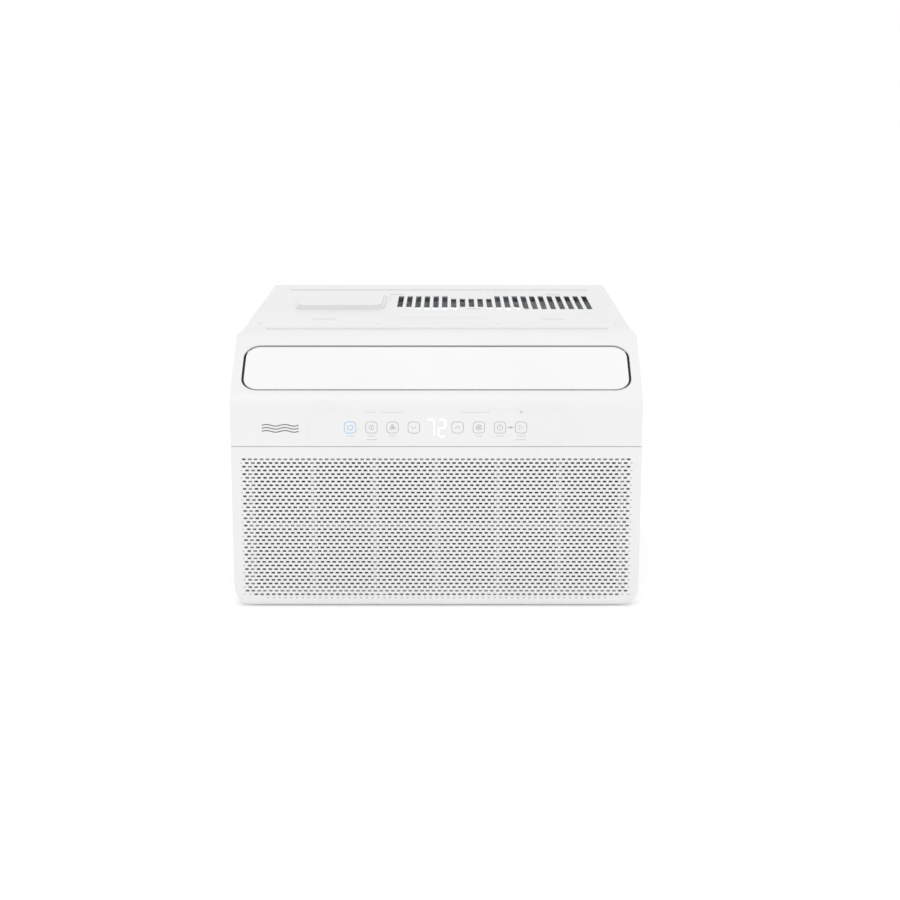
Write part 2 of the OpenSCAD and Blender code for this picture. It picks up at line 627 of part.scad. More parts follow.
condenser_y0 = body_d - 50;
condenser_z0 = 12;
condenser_x = half_w - 24;
condenser_rows = floor((body_h - 24 - condenser_z0) / coil_pitch);
condenser_z1 = condenser_z0 + condenser_rows * coil_pitch;
condenser_tube_y = condenser_y0 + condenser_d / 2 - 8;
module condenser_fins() color("#b9c4cc") difference() {
    block([-condenser_x, condenser_y0, condenser_z0],
        [condenser_x, condenser_y0 + condenser_d, condenser_z1]);
    tube_holes(condenser_x, condenser_tube_y, condenser_rows, condenser_z0 + 6);
}
module condenser_tubes() color("#b87345")
    tube_bank(-condenser_x - 3, condenser_x + 3, condenser_tube_y, condenser_rows, condenser_z0 + 6,
        coil_pitch, 16);

// ---- Base pan, cabinet, bulkhead, rear guard ----
pan_half = half_w - sheet_t - 0.4;
pan_y0 = frame_y + front_wall + 0.7;
pan_step_y = front_d + 2;
pan_flange_h = 22;
drain_x = half_w - 60;
drain_y = body_d - 70;
drain_r = 7;
screw_hole_r = 2;
frame_screw_x = half_w - 60;
frame_screw_z = 12;

module pan_plan(t) {
    translate([-pan_step_w / 2 + t, pan_y0 + t]) square([pan_step_w - 2 * t, pan_step_y - pan_y0]);
    translate([-pan_half + t, pan_step_y + t])
        square([2 * (pan_half - t), body_d - 2.2 - pan_step_y - 2 * t]);
}
module base_pan() color("#c9cdd0") difference() {
    union() {
        difference() {
            linear_extrude(pan_flange_h) pan_plan(0);
            translate([0, 0, floor_t]) linear_extrude(pan_flange_h) pan_plan(floor_t);
        }
        // studs for the compressor
        for (p = compressor_feet) rod_z(floor_t - 0.2, 24, stud_r, p);
    }
    rod_z(-1, floor_t + 1, drain_r, [drain_x, drain_y]);
    mirror_x() rod_y(pan_y0 - 1, pan_y0 + floor_t + 1, 1.7, [frame_screw_x, frame_screw_z]);
    rear_screw_holes(1.7);
    // way out for the cold air duct's scroll is clear; cable slot in the front flange
    block([-8, pan_y0 - 1, 14], [8, pan_y0 + floor_t + 1, pan_flange_h + 1]);
}

module drain_plug() color("#2c2e30") {
    rod_z(floor_t + 0.02, floor_t + 3, drain_r + 2.5, [drain_x, drain_y]);
    rod_z(0.2, floor_t + 1, drain_r - 0.05, [drain_x, drain_y]);
}

module frame_screws() color("silver") mirror_x() {
    rod_y(frame_y - 2, frame_y - 0.02, 4, [frame_screw_x, frame_screw_z]);
    rod_y(frame_y - 1, pan_y0 + floor_t + 5, 1.65, [frame_screw_x, frame_screw_z]);
}

compressor_x = -half_w + 110;
compressor_y = 361;
hump_w = 117;
hump_l = 127;
rib_w = body_w - 60;
slot_x0 = fan_x - 129.7;       // left edge of the first inlet slot
slot_y0 = 301;
slot_y1 = 423;
rail_y = 182;
rail_outer_x = half_w - 17;
rail_inner_x = 74.3;
curtain_y = front_d + 18;      // screw holes for the side curtain frames
curtain_z = [body_h / 2 - 90, body_h / 2 + 90];
edge_r = 4;
cabinet_y0 = front_d + part_gap;

// Cabinet section seen from the front: an open-bottomed U with round top edges
module cabinet_section(t) {
    w = body_w - 2 * t;
    r = edge_r - t;
    translate([-w / 2, t > 0 ? -1 : 1.5]) square([w, body_h - t - r - (t > 0 ? -1 : 1.5)]);
    translate([-w / 2 + r, body_h - t - r - 1]) square([w - 2 * r, r + 1]);
    for (x = [-1, 1]) translate([x * (w / 2 - r), body_h - t - r]) circle(r, $fn = 48);
}

// Slots stop short beside the pressed tabs, and are full length elsewhere
function slot_from(i) = i < 2 || (i > 6 && i < 10) ? slot_y0 + 20 : slot_y0;
function slot_to(i) = i > 5 && i < 11 ? slot_y1 - 25 : slot_y1;

module cabinet() color("#f2f2f2") difference() {
    union() {
        difference() {
            extrude_y(cabinet_y0, body_d) cabinet_section(0);
            extrude_y(cabinet_y0 - 1, body_d - sheet_t) cabinet_section(sheet_t);
            // opening of the rear, inside a return flange
            block([-half_w + 14, body_d - 3, -1], [half_w - 14, body_d + 1, body_h - 14]);
        }
        // pressed ribs and the cover over the compressor
        for (y = [138, body_d - 58]) rib(y);
        hump(0);
    }
    hump(sheet_t);
    for (i = [0:21]) block([slot_x0 + i * slot_pitch, slot_from(i), body_h - 3],
                           [slot_x0 + i * slot_pitch + slot_w, slot_to(i), body_h + 1]);
    for (x = [-1, 1]) {
        for (rx = [rail_outer_x, rail_inner_x])
            rod_z(body_h - 3, body_h + 1, rail_hole_r, [x * rx, rail_y]);
    }
    // side louvre slots and curtain screw holes
    for (c = [0:2], r = [0:9])
        block([-half_w - 1, 215 + c * 75, 80 + r * 17], [half_w + 1, 275 + c * 75, 86 + r * 17]);
    for (z = curtain_z) rod_x(-half_w - 1, half_w + 1, rail_hole_r, [curtain_y, z]);
    rear_screw_holes(screw_hole_r);
}

module rib(y) translate([0, y, body_h - 0.5]) block([-rib_w / 2, 0, 0], [rib_w / 2, 24, 2]);
// Two steps of the raised cover; t draws its inside
module hump(t) translate([compressor_x, compressor_y, 0]) {
    translate([0, 0, body_h - t - 0.5]) linear_extrude(hump_h * 0.5 + 0.5)
        rounded(hump_w - 2 * t, hump_l - 2 * t, 16 - t);
    translate([0, 0, body_h - t - 0.5]) linear_extrude(hump_h + 0.5)
        rounded(hump_w - 6 - 2 * t, hump_l - 6 - 2 * t, 14 - t);
}

rear_screw_x = half_w - 8;
rear_screw_z = [40, body_h / 2, body_h - 40];
module rear_screw_holes(r) for (x = [-1, 1], z = rear_screw_z)
    rod_y(body_d - 8, body_d + 1, r, [x * rear_screw_x, z]);
module rear_screws() color("silver") for (x = [-1, 1], z = rear_screw_z) {
    rod_y(guard_y - 1.7, guard_y - 0.02, 3.2, [x * rear_screw_x, z]);
    rod_y(guard_y - 1, body_d - 0.3, 1.68, [x * rear_screw_x, z]);
}

guard_y = body_d - sheet_t - 1.25;
module rear_guard() color("#e8e8e8") difference() {
    block([-half_w + sheet_t + 0.4, guard_y, pan_flange_h + 1],
        [half_w - sheet_t - 0.4, guard_y + 1.2, body_h - edge_r - 1]);
    for (c = [0:27], r = [0:2]) let (px = (body_w - 36) / 28, pz = (body_h - 56) / 3)
        block([-half_w + 18 + c * px + 2, guard_y - 1, 34 + r * pz],
            [-half_w + 18 + (c + 1) * px - 2, guard_y + 3, 34 + (r + 1) * pz - 8]);
    rear_screw_holes(screw_hole_r);
}

module bulkhead() color("#cfd2d4") difference() {
    block([-pan_half + floor_t + 0.1, bulkhead_y, floor_t + 0.05],
        [pan_half - floor_t - 0.1, bulkhead_y + 1, body_h - 4]);
    rod_y(bulkhead_y - 1, bulkhead_y + 3, 18, [fan_x, fan_z]);
    // passage for the pipes
    block([-half_w + 14, bulkhead_y - 1, 24], [-half_w + 44, bulkhead_y + 3, 74]);
}

// ---- Compressor ----
stud_r = 3;
foot_ring = compressor_r + 14;
compressor_feet = [for (a = [30, 150, 270]) [compressor_x + foot_ring * cos(a),
    compressor_y + foot_ring * sin(a)]];
grommet_h = 12;
foot_z = floor_t + grommet_h;
compressor_top = body_h - 30;

module compressor() color("#2f3235") difference() {
    union() {
        rod_z(foot_z + 6, compressor_top - 18, compressor_r, [compressor_x, compressor_y]);
        translate([compressor_x, compressor_y, compressor_top - 18.5])
            cylinder(h = 18.5, r1 = compressor_r - 0.5, r2 = compressor_r - 26, $fn = 64);
        translate([compressor_x, compressor_y, foot_z + 0.2])
            cylinder(h = 6, r1 = compressor_r - 18, r2 = compressor_r - 0.5, $fn = 64);
        for (p = compressor_feet) rod_z(foot_z + 0.1, foot_z + 3, 13, p);
        rod_z(foot_z + 0.1, foot_z + 3, foot_ring - 2, [compressor_x, compressor_y]);
    }
    for (p = compressor_feet) rod_z(foot_z - 1, foot_z + 4, 5.5, p);
}
module terminal_cover() color("#1f2123") difference() {
    rod_z(compressor_top + 0.05, compressor_top + 16, 22, [compressor_x, compressor_y]);
    rod_z(compressor_top - 1, compressor_top + 13, 19.5, [compressor_x, compressor_y]);
}
module compressor_grommets() color("#1f2123") for (p = compressor_feet) difference() {
    union() {
        rod_z(floor_t + 0.05, foot_z, 10, p);
        rod_z(foot_z - 0.5, foot_z + 4.5, 5.4, p);
    }
    rod_z(0, foot_z + 6, stud_r + 0.2, p);
}
module compressor_nuts() color("silver") for (p = compressor_feet) difference() {
    union() {
        translate([p[0], p[1], foot_z + 5.8]) cylinder(h = 4, r = 6, $fn = 6);
        rod_z(foot_z + 4.55, foot_z + 6, 8, p);
    }
    rod_z(foot_z, foot_z + 20, stud_r + 0.03, p);
}

accumulator_x = compressor_x - 60;
accumulator_y = compressor_y + 64;
accumulator_z = [70, 205];
module accumulator() color("#2f3235") {
    rod_z(accumulator_z[0], accumulator_z[1], 20, [accumulator_x, accumulator_y]);
    translate([accumulator_x, accumulator_y, accumulator_z[1] - 0.5])
        cylinder(h = 12, r1 = 19.5, r2 = 8, $fn = 48);
    translate([accumulator_x, accumulator_y, accumulator_z[0] - 11.5])
        cylinder(h = 12, r1 = 8, r2 = 19.5, $fn = 48);
    // strap and elbow to the compressor
    difference() {
        pipe([[accumulator_x, accumulator_y, accumulator_z[0] - 5], [accumulator_x, accumulator_y, 48],
              [compressor_x - 30, compressor_y + 32, 48]], 6);
        rod_z(20, 80, compressor_r + 0.05, [compressor_x, compressor_y]);
    }
}

// A bent pipe: straight runs with a slightly fuller joint at each bend
module pipe(p, r) {
    for (i = [0:len(p) - 2]) let (d = p[i + 1] - p[i], l = norm(d))
        translate(p[i]) rotate([0, acos(d[2] / l), atan2(d[1], d[0])]) cylinder(h = l, r = r, $fn = 32);
    if (len(p) > 2) for (i = [1:len(p) - 2]) translate(p[i]) sphere(r + 0.3, $fn = 32);
}

line_x = -half_w + 24;
module suction_line() color("#b87345")
    pipe([[line_x, scroll_y0 + 2, 64],
          [line_x, 300, 64], [line_x, 300, 250], [accumulator_x, accumulator_y, 250],
          [accumulator_x, accumulator_y, accumulator_z[1] + 11.6]], 4.5);
module discharge_line() color("#b87345")
    pipe([[compressor_x + 26, compressor_y + 14, compressor_top + 0.5],
        [compressor_x + 26, compressor_y + 14, compressor_top + 8],
          [compressor_x + 26, shroud_y - 14, compressor_top + 8],
              [-half_w + 14, shroud_y - 14, compressor_top + 8],
          [-half_w + 14, shroud_y - 14, 200]], 3.2);
module liquid_line() color("#b87345")
    pipe([[-half_w + 14, shroud_y - 14, 40], [-half_w + 14, 330, 40], [-half_w + 26, 312, 40],
        [-half_w + 26, 280, 40]], 3);
module filter_drier() color("#b87345") {
    rod_y(210, 270, 9, [-half_w + 26, 40]);
    translate([-half_w + 26, 269.5, 40]) rotate([-90, 0, 0]) cylinder(h = 10.4, r1 = 8.8, r2 = 4, $fn = 32);
    translate([-half_w + 26, 210.5, 40]) rotate([90, 0, 0]) cylinder(h = 8, r1 = 8.8, r2 = 3, $fn = 32);
}
module capillary_tube() color("#b87345") {
    pipe([[-half_w + 26, 202.4, 40], [-half_w + 26, 194, 40], [-half_w + 38, 194, 40],
          [-half_w + 38, scroll_y0, 40]], 1.6);
    // two turns of the coiled stretch
    for (z = [46, 51]) translate([-half_w + 58, 230, z]) rotate_extrude($fn = 64) translate([18, 0])
        circle(1.6, $fn = 24);
}

// ---- Electrics ----
box_x0 = -half_w + 10;
box_x1 = -half_w + 170;
box_y0 = bulkhead_y + 1.05;
box_y1 = 288;
box_z0 = body_h - 140;
box_z1 = body_h - 26;
module control_box() color("#d5d8da") difference() {
    block([box_x0, box_y0, box_z0], [box_x1, box_y1, box_z1]);
    block([box_x0 + 2, box_y0 + 2, box_z0 + 2], [box_x1 - 2, box_y1 - 2, box_z1 + 1]);
    rod_x(box_x1 - 4, box_x1 + 1, 9, [box_y0 + 60, box_z0 + 40]);
}
module control_box_lid() color("#dfe2e4") {
    block([box_x0, box_y0, box_z1 + 0.05], [box_x1, box_y1, box_z1 + 1.6]);
    block([box_x0 + 2.2, box_y0 + 2.2, box_z1 - 6], [box_x1 - 2.2, box_y0 + 3.4, box_z1 + 0.5]);
    block([box_x0 + 2.2, box_y1 - 3.4, box_z1 - 6], [box_x1 - 2.2, box_y1 - 2.2, box_z1 + 0.5]);
}
module main_board() color("#2f6b4a") {
    block([box_x0 + 8, box_y0 + 8, box_z0 + 10], [box_x1 - 8, box_y1 - 8, box_z0 + 11.6]);
    for (x = [box_x0 + 14, box_x1 - 14], y = [box_y0 + 14, box_y1 - 14])
        rod_z(box_z0 + 2.02, box_z0 + 10.5, 3, [x, y]);
    // heat sink and two relays
    for (i = [0:7])
        block([box_x0 + 20 + i * 6, box_y0 + 20, box_z0 + 11],
            [box_x0 + 22 + i * 6, box_y0 + 70, box_z0 + 34]);
    block([box_x0 + 18, box_y0 + 18, box_z0 + 11], [box_x0 + 66, box_y0 + 72, box_z0 + 14]);
    for (y = [24, 48])
        block([box_x1 - 36, box_y0 + y, box_z0 + 11], [box_x1 - 20, box_y0 + y + 18, box_z0 + 27]);
}
module bus_capacitors() color("#24313f") for (x = [0, 28])
    rod_z(box_z0 + 11.65, box_z0 + 52, 12, [box_x0 + 88 + x, box_y1 - 30]);

gland_r = 8;
gland_y = 96;
gland_z = 44;
module cord_gland() color("#e6e6e6") difference() {
    union() {
        rod_x(half_w - 9, half_w - 0.02, gland_r - 0.05, [gland_y, gland_z]);
        rod_x(half_w - front_wall - 3, half_w - front_wall - 0.05, gland_r + 3, [gland_y, gland_z]);
    }
    rod_x(half_w - 12, half_w + 1, 4.2, [gland_y, gland_z]);
}

module placed() translate([0, -body_d / 2, 0]) children();

placed() base_pan();
placed() drain_plug();
placed() cabinet();
placed() rear_guard();
placed() rear_screws();
placed() bulkhead();
placed() front_frame();
placed() frame_screws();
placed() control_overlay();
placed() display_board();
placed() display_digits();
placed() intake_grille();
placed() filter_frame();
placed() filter_mesh();
placed() outlet_flap();
placed() flap_motor_shaft();
placed() flap_motor();
placed() flap_motor_screws();
placed() outlet_duct();
for (i = [1:vane_count]) placed() vane(i);
placed() vane_tie_bar();
placed() blower_scroll();
placed() blower_wheel();
placed() fan_shaft();
placed() fan_motor();
placed() motor_bracket();
placed() motor_rings();
placed() outdoor_fan();
placed() shaft_nuts();
placed() fan_shroud();
placed() evaporator_fins();
placed() evaporator_tubes();
placed() drip_tray();
placed() room_sensor();
placed() condenser_fins();
placed() condenser_tubes();
placed() compressor();
placed() terminal_cover();
placed() compressor_grommets();
placed() compressor_nuts();
placed() accumulator();
placed() suction_line();
placed() discharge_line();
placed() liquid_line();
placed() filter_drier();
placed() capillary_tube();
placed() control_box();
placed() control_box_lid();
placed() main_board();
placed() bus_capacitors();
placed() cord_gland();
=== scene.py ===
"""Visual model of a window air conditioner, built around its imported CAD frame.

The file is laid out as an add-on: sizes and colours are properties, each group of pieces has an
operator, and main() runs the operators in order. Everything is in metres, in the frame's own axes.
"""
import json
import math
import random

import bmesh
import bpy
from mathutils import Matrix, Vector


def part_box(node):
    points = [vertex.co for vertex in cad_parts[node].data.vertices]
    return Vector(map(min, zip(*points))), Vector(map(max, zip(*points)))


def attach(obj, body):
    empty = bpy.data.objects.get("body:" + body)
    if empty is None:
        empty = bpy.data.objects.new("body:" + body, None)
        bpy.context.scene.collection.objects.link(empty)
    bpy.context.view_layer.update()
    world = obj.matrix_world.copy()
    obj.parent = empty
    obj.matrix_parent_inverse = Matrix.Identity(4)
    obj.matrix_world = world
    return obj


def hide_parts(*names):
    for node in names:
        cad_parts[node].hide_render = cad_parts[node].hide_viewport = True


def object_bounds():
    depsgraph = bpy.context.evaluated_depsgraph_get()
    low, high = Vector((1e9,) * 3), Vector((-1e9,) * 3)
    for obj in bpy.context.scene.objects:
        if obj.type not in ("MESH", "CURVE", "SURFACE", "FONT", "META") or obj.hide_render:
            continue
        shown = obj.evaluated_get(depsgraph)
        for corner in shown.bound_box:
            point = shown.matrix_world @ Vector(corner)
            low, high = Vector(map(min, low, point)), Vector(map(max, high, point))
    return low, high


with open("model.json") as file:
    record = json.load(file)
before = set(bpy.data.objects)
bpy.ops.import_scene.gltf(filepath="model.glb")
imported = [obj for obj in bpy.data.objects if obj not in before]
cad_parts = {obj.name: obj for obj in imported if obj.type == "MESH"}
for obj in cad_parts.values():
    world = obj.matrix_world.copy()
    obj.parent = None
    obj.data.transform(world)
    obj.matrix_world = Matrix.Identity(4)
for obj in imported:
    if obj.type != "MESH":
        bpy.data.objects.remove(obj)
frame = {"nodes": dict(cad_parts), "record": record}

bl_info = {
    "name": "Window air conditioner",
    "version": (1, 0, 0),
    "blender": (4, 5, 0),
    "location": "3D View > Sidebar > Air conditioner",
    "description": "Models the visible pieces and finishes of a window air conditioner",
    "category": "Object",
}

MM = 0.001
FRONT_LO, FRONT_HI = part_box("front_frame")
GRILLE_LO, GRILLE_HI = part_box("intake_grille")
CABINET_LO, CABINET_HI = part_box("cabinet")
PANEL_LO, PANEL_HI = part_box("control_overlay")
CAD_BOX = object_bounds()
FRONT_Y = FRONT_LO.y
RIB_RISE = 1.5 * MM
DECK_Z = FRONT_HI.z


# ---------------------------------------------------------------- properties

class AcFrontSizes(bpy.types.PropertyGroup):
    """Sizes of the plastic front."""
    hole_pitch_x: bpy.props.FloatProperty(
        name="Hole pitch across", description="Distance between holes in a row",
        default=6.92 * MM, unit="LENGTH")
    hole_pitch_z: bpy.props.FloatProperty(
        name="Row pitch", description="Distance between rows of holes", default=4.466 * MM, unit="LENGTH")
    hole_length: bpy.props.FloatProperty(
        name="Hole length", description="Length of one oblong hole", default=4.8 * MM, unit="LENGTH")
    hole_height: bpy.props.FloatProperty(
        name="Hole height", description="Height of one oblong hole", default=2.4 * MM, unit="LENGTH")
    hole_rows: bpy.props.IntProperty(
        name="Rows of holes", description="Number of rows in the grille", default=38)
    sheet: bpy.props.FloatProperty(
        name="Grille wall", description="Thickness of the perforated wall", default=2.5 * MM, unit="LENGTH")
    edge_round: bpy.props.FloatProperty(
        name="Edge rounding", description="Rounding on the edges of moulded pieces",
        default=0.5 * MM, unit="LENGTH")
    icon_size: bpy.props.FloatProperty(
        name="Key outline", description="Width of the printed outline of a touch key",
        default=13.4 * MM, unit="LENGTH")
    line_width: bpy.props.FloatProperty(
        name="Printed line", description="Width of a printed line", default=0.5 * MM, unit="LENGTH")


class AcCoilSizes(bpy.types.PropertyGroup):
    """Sizes of the coils, nets and fan."""
    fin_pitch: bpy.props.FloatProperty(
        name="Fin pitch", description="Distance between fins", default=2.0 * MM, unit="LENGTH")
    fin_thickness: bpy.props.FloatProperty(
        name="Fin thickness", description="Thickness of one fin", default=0.2 * MM, unit="LENGTH")
    net_pitch: bpy.props.FloatProperty(
        name="Net pitch", description="Distance between threads of the filter net",
        default=1.6 * MM, unit="LENGTH")


class AcColours(bpy.types.PropertyGroup):
    """Colours of the finishes."""
    front: bpy.props.FloatVectorProperty(
        name="Front", description="Colour of the moulded front", subtype="COLOR", size=4,
        default=(0.775, 0.775, 0.775, 1))
    flap: bpy.props.FloatVectorProperty(
        name="Flap", description="Colour of the outlet flap", subtype="COLOR", size=4,
        default=(0.815, 0.815, 0.815, 1))
    sleeve: bpy.props.FloatVectorProperty(
        name="Sleeve", description="Colour of the painted sheet", subtype="COLOR", size=4,
        default=(0.755, 0.755, 0.755, 1))
    print_grey: bpy.props.FloatVectorProperty(
        name="Print", description="Colour of the printed key outlines", subtype="COLOR", size=4,
        default=(0.13, 0.13, 0.135, 1))
    lit_blue: bpy.props.FloatVectorProperty(
        name="Lit key", description="Colour of the lit power key", subtype="COLOR", size=4,
        default=(0.05, 0.30, 0.60, 1))


def front_sizes():
    return bpy.context.scene.ac_front


def coil_sizes():
    return bpy.context.scene.ac_coil


def colours():
    return bpy.context.scene.ac_colours


# ---------------------------------------------------------------- materials

def new_material(name, colour, roughness, metallic=0.0, coat=0.0):
    """Returns a material with its constant values set, its node tree and its shader."""
    mat = bpy.data.materials.new(name)
    mat.use_nodes = True
    mat.diffuse_color = colour
    tree = mat.node_tree
    shader = tree.nodes["Principled BSDF"]
    shader.inputs["Base Color"].default_value = colour
    shader.inputs["Roughness"].default_value = roughness
    shader.inputs["Metallic"].default_value = metallic
    shader.inputs["Coat Weight"].default_value = coat
    return mat, tree, shader


def noise(tree, scale, detail=3.0, stretch=(1, 1, 1)):
    coord = tree.nodes.new("ShaderNodeTexCoord")
    place = tree.nodes.new("ShaderNodeMapping")
    place.inputs["Scale"].default_value = stretch
    tex = tree.nodes.new("ShaderNodeTexNoise")
    tex.inputs["Scale"].default_value = scale
    tex.inputs["Detail"].default_value = detail
    tree.links.new(coord.outputs["Object"], place.inputs["Vector"])
    tree.links.new(place.outputs["Vector"], tex.inputs["Vector"])
    return tex


def vary_colour(tree, shader, tex, colour, amount):
    """Lets the colour drift by a small amount with a texture."""
    ramp = tree.nodes.new("ShaderNodeValToRGB")
    low = [c * (1 - amount) for c in colour[:3]] + [1]
    high = [min(1, c * (1 + amount * 0.6)) for c in colour[:3]] + [1]
    ramp.color_ramp.elements[0].position = 0.35
    ramp.color_ramp.elements[0].color = low
    ramp.color_ramp.elements[1].position = 0.65
    ramp.color_ramp.elements[1].color = high
    tree.links.new(tex.outputs["Fac"], ramp.inputs["Fac"])
    tree.links.new(ramp.outputs["Color"], shader.inputs["Base Color"])


def vary_roughness(tree, shader, tex, low, high):
    span = tree.nodes.new("ShaderNodeMapRange")
    span.inputs["To Min"].default_value = low
    span.inputs["To Max"].default_value = high
    tree.links.new(tex.outputs["Fac"], span.inputs["Value"])
    tree.links.new(span.outputs["Result"], shader.inputs["Roughness"])


def bump(tree, shader, tex, strength, depth):
    node = tree.nodes.new("ShaderNodeBump")
    node.inputs["Strength"].default_value = strength
    node.inputs["Distance"].default_value = depth
    tree.links.new(tex.outputs["Fac"], node.inputs["Height"])
    tree.links.new(node.outputs["Normal"], shader.inputs["Normal"])


def moulded_plastic(name, colour, roughness=0.42, grain=1800, strength=0.12, drift=0.012):
    """Moulded plastic with a fine spark-eroded grain and a faint drift of colour."""
    mat, tree, shader = new_material(name, colour, roughness)
    vary_colour(tree, shader, noise(tree, 7), colour, drift)
    vary_roughness(tree, shader, noise(tree, 60), roughness - 0.05, roughness + 0.06)
    bump(tree, shader, noise(tree, grain, 2), strength, 0.0001)
    return mat


def powder_coat(name, colour, roughness=0.38):
    """Powder coated sheet with an orange-peel skin."""
    mat, tree, shader = new_material(name, colour, roughness, coat=0.08)
    vary_colour(tree, shader, noise(tree, 9), colour, 0.012)
    vary_roughness(tree, shader, noise(tree, 45), roughness - 0.05, roughness + 0.06)
    bump(tree, shader, noise(tree, 520, 2), 0.10, 0.0002)
    return mat


def sheet_zinc(name, colour, roughness=0.4):
    """Galvanised sheet: large pale spangles and a fine rolling grain."""
    mat, tree, shader = new_material(name, colour, roughness, metallic=0.9)
    coord = tree.nodes.new("ShaderNodeTexCoord")
    cells = tree.nodes.new("ShaderNodeTexVoronoi")
    cells.inputs["Scale"].default_value = 90
    tree.links.new(coord.outputs["Object"], cells.inputs["Vector"])
    ramp = tree.nodes.new("ShaderNodeValToRGB")
    ramp.color_ramp.elements[0].color = [c * 0.82 for c in colour[:3]] + [1]
    ramp.color_ramp.elements[1].color = colour
    tree.links.new(cells.outputs["Color"], ramp.inputs["Fac"])
    tree.links.new(ramp.outputs["Color"], shader.inputs["Base Color"])
    vary_roughness(tree, shader, noise(tree, 200), roughness - 0.08, roughness + 0.12)
    bump(tree, shader, noise(tree, 900, 2, (1, 0.1, 1)), 0.08, 0.0001)
    return mat


def drawn_metal(name, colour, roughness, stretch, tarnish=0.15, scale=160):
    """Drawn, turned or rolled metal with fine lines and some tarnish."""
    mat, tree, shader = new_material(name, colour, roughness, metallic=1.0)
    vary_colour(tree, shader, noise(tree, 25, 5), colour, tarnish)
    vary_roughness(tree, shader, noise(tree, scale, 4, stretch), roughness - 0.1, roughness + 0.12)
    bump(tree, shader, noise(tree, scale * 3, 2, stretch), 0.1, 0.0001)
    return mat


def bead_foam(name, colour):
    """Moulded bead foam: packed round beads."""
    mat, tree, shader = new_material(name, colour, 0.75)
    coord = tree.nodes.new("ShaderNodeTexCoord")
    cells = tree.nodes.new("ShaderNodeTexVoronoi")
    cells.inputs["Scale"].default_value = 320
    tree.links.new(coord.outputs["Object"], cells.inputs["Vector"])
    node = tree.nodes.new("ShaderNodeBump")
    node.invert = True
    node.inputs["Strength"].default_value = 0.45
    node.inputs["Distance"].default_value = 0.0006
    tree.links.new(cells.outputs["Distance"], node.inputs["Height"])
    tree.links.new(node.outputs["Normal"], shader.inputs["Normal"])
    vary_colour(tree, shader, noise(tree, 30), colour, 0.04)
    return mat


def lit(name, colour, strength):
    mat, tree, shader = new_material(name, colour, 0.3)
    shader.inputs["Emission Color"].default_value = colour
    shader.inputs["Emission Strength"].default_value = strength
    vary_roughness(tree, shader, noise(tree, 80), 0.25, 0.35)
    return mat


def board_mask(name):
    """Green solder mask with faint copper tracks under it."""
    colour = (0.03, 0.16, 0.08, 1)
    mat, tree, shader = new_material(name, colour, 0.3, coat=0.3)
    coord = tree.nodes.new("ShaderNodeTexCoord")
    bricks = tree.nodes.new("ShaderNodeTexBrick")
    bricks.inputs["Scale"].default_value = 90
    bricks.inputs["Color1"].default_value = colour
    bricks.inputs["Color2"].default_value = (0.035, 0.19, 0.09, 1)
    bricks.inputs["Mortar"].default_value = (0.06, 0.28, 0.12, 1)
    bricks.inputs["Mortar Size"].default_value = 0.03
    tree.links.new(coord.outputs["Object"], bricks.inputs["Vector"])
    tree.links.new(bricks.outputs["Color"], shader.inputs["Base Color"])
    vary_roughness(tree, shader, noise(tree, 120), 0.25, 0.4)
    return mat


FINISHES = {}


def make_finishes():
    c = colours()
    FINISHES.update(
        painted_steel=powder_coat("sleeve_powder_coat", tuple(c.sleeve)),
        galvanised_steel=sheet_zinc("galvanised_sheet", (0.62, 0.64, 0.66, 1)),
        front_plastic=moulded_plastic("front_moulding", tuple(c.front), 0.36),
        flap_plastic=moulded_plastic("flap_moulding", tuple(c.flap), 0.34),
        duct_plastic=moulded_plastic("duct_moulding", (0.09, 0.09, 0.092, 1), 0.5, 900),
        touch_panel=moulded_plastic("touch_film", tuple(c.front), 0.36, 2600, 0.05, 0.006),
        display_light=lit("lit_digits", (1, 1, 1, 1), 0.9),
        circuit_board=board_mask("board_solder_mask"),
        filter_plastic=moulded_plastic("filter_moulding", (0.66, 0.67, 0.68, 1), 0.5, 900),
        filter_net=moulded_plastic("filter_nylon", (0.34, 0.345, 0.35, 1), 0.55, 2500, 0.2, 0.06),
        foam=bead_foam("bead_foam", (0.78, 0.78, 0.77, 1)),
        fan_plastic=moulded_plastic("fan_moulding", (0.34, 0.345, 0.35, 1), 0.45, 700, 0.3, 0.1),
        bright_steel=drawn_metal("bright_steel", (0.68, 0.69, 0.7, 1), 0.28, (1, 8, 1)),
        motor_steel=drawn_metal("motor_shell", (0.5, 0.52, 0.54, 1), 0.38, (1, 0.2, 1)),
        rubber=moulded_plastic("black_rubber", (0.018, 0.018, 0.018, 1), 0.75, 600, 0.4, 0.15),
        fin_aluminium=drawn_metal("coated_fin_stock", (0.62, 0.68, 0.74, 1), 0.35, (1, 1, 6), 0.08),
        copper=drawn_metal("drawn_copper", (0.72, 0.32, 0.17, 1), 0.3, (0.2, 1, 1), 0.3),
        black_steel=powder_coat("black_enamel", (0.022, 0.022, 0.024, 1), 0.32),
        black_plastic=moulded_plastic("black_moulding", (0.02, 0.02, 0.022, 1), 0.5, 700, 0.3, 0.1),
        print_grey=moulded_plastic("key_print", tuple(c.print_grey), 0.5, 1500, 0.05, 0.05),
        # pale print of the dots and dashes, also used as painted shade for the grille's blind dimples
        print_pale=moulded_plastic("dot_print_and_dimple_shade", (0.5, 0.5, 0.5, 1), 0.5, 1500, 0.05, 0.05),
        # dark print of the air mark, also used as painted shade inside the top sheet's slits
        print_dark=moulded_plastic("mark_print_and_slit_shade", (0.16, 0.16, 0.165, 1), 0.45, 1500, 0.05, 0.05),
        lit_blue=lit("lit_power_key", tuple(c.lit_blue), 0.35),
    )


SLOT_OF = {row["node"]: row["material_slot"] for row in frame["record"]["subparts"]}


def paint(obj, finish):
    obj.data.materials.clear()
    obj.data.materials.append(FINISHES[finish])


# ---------------------------------------------------------------- mesh helpers

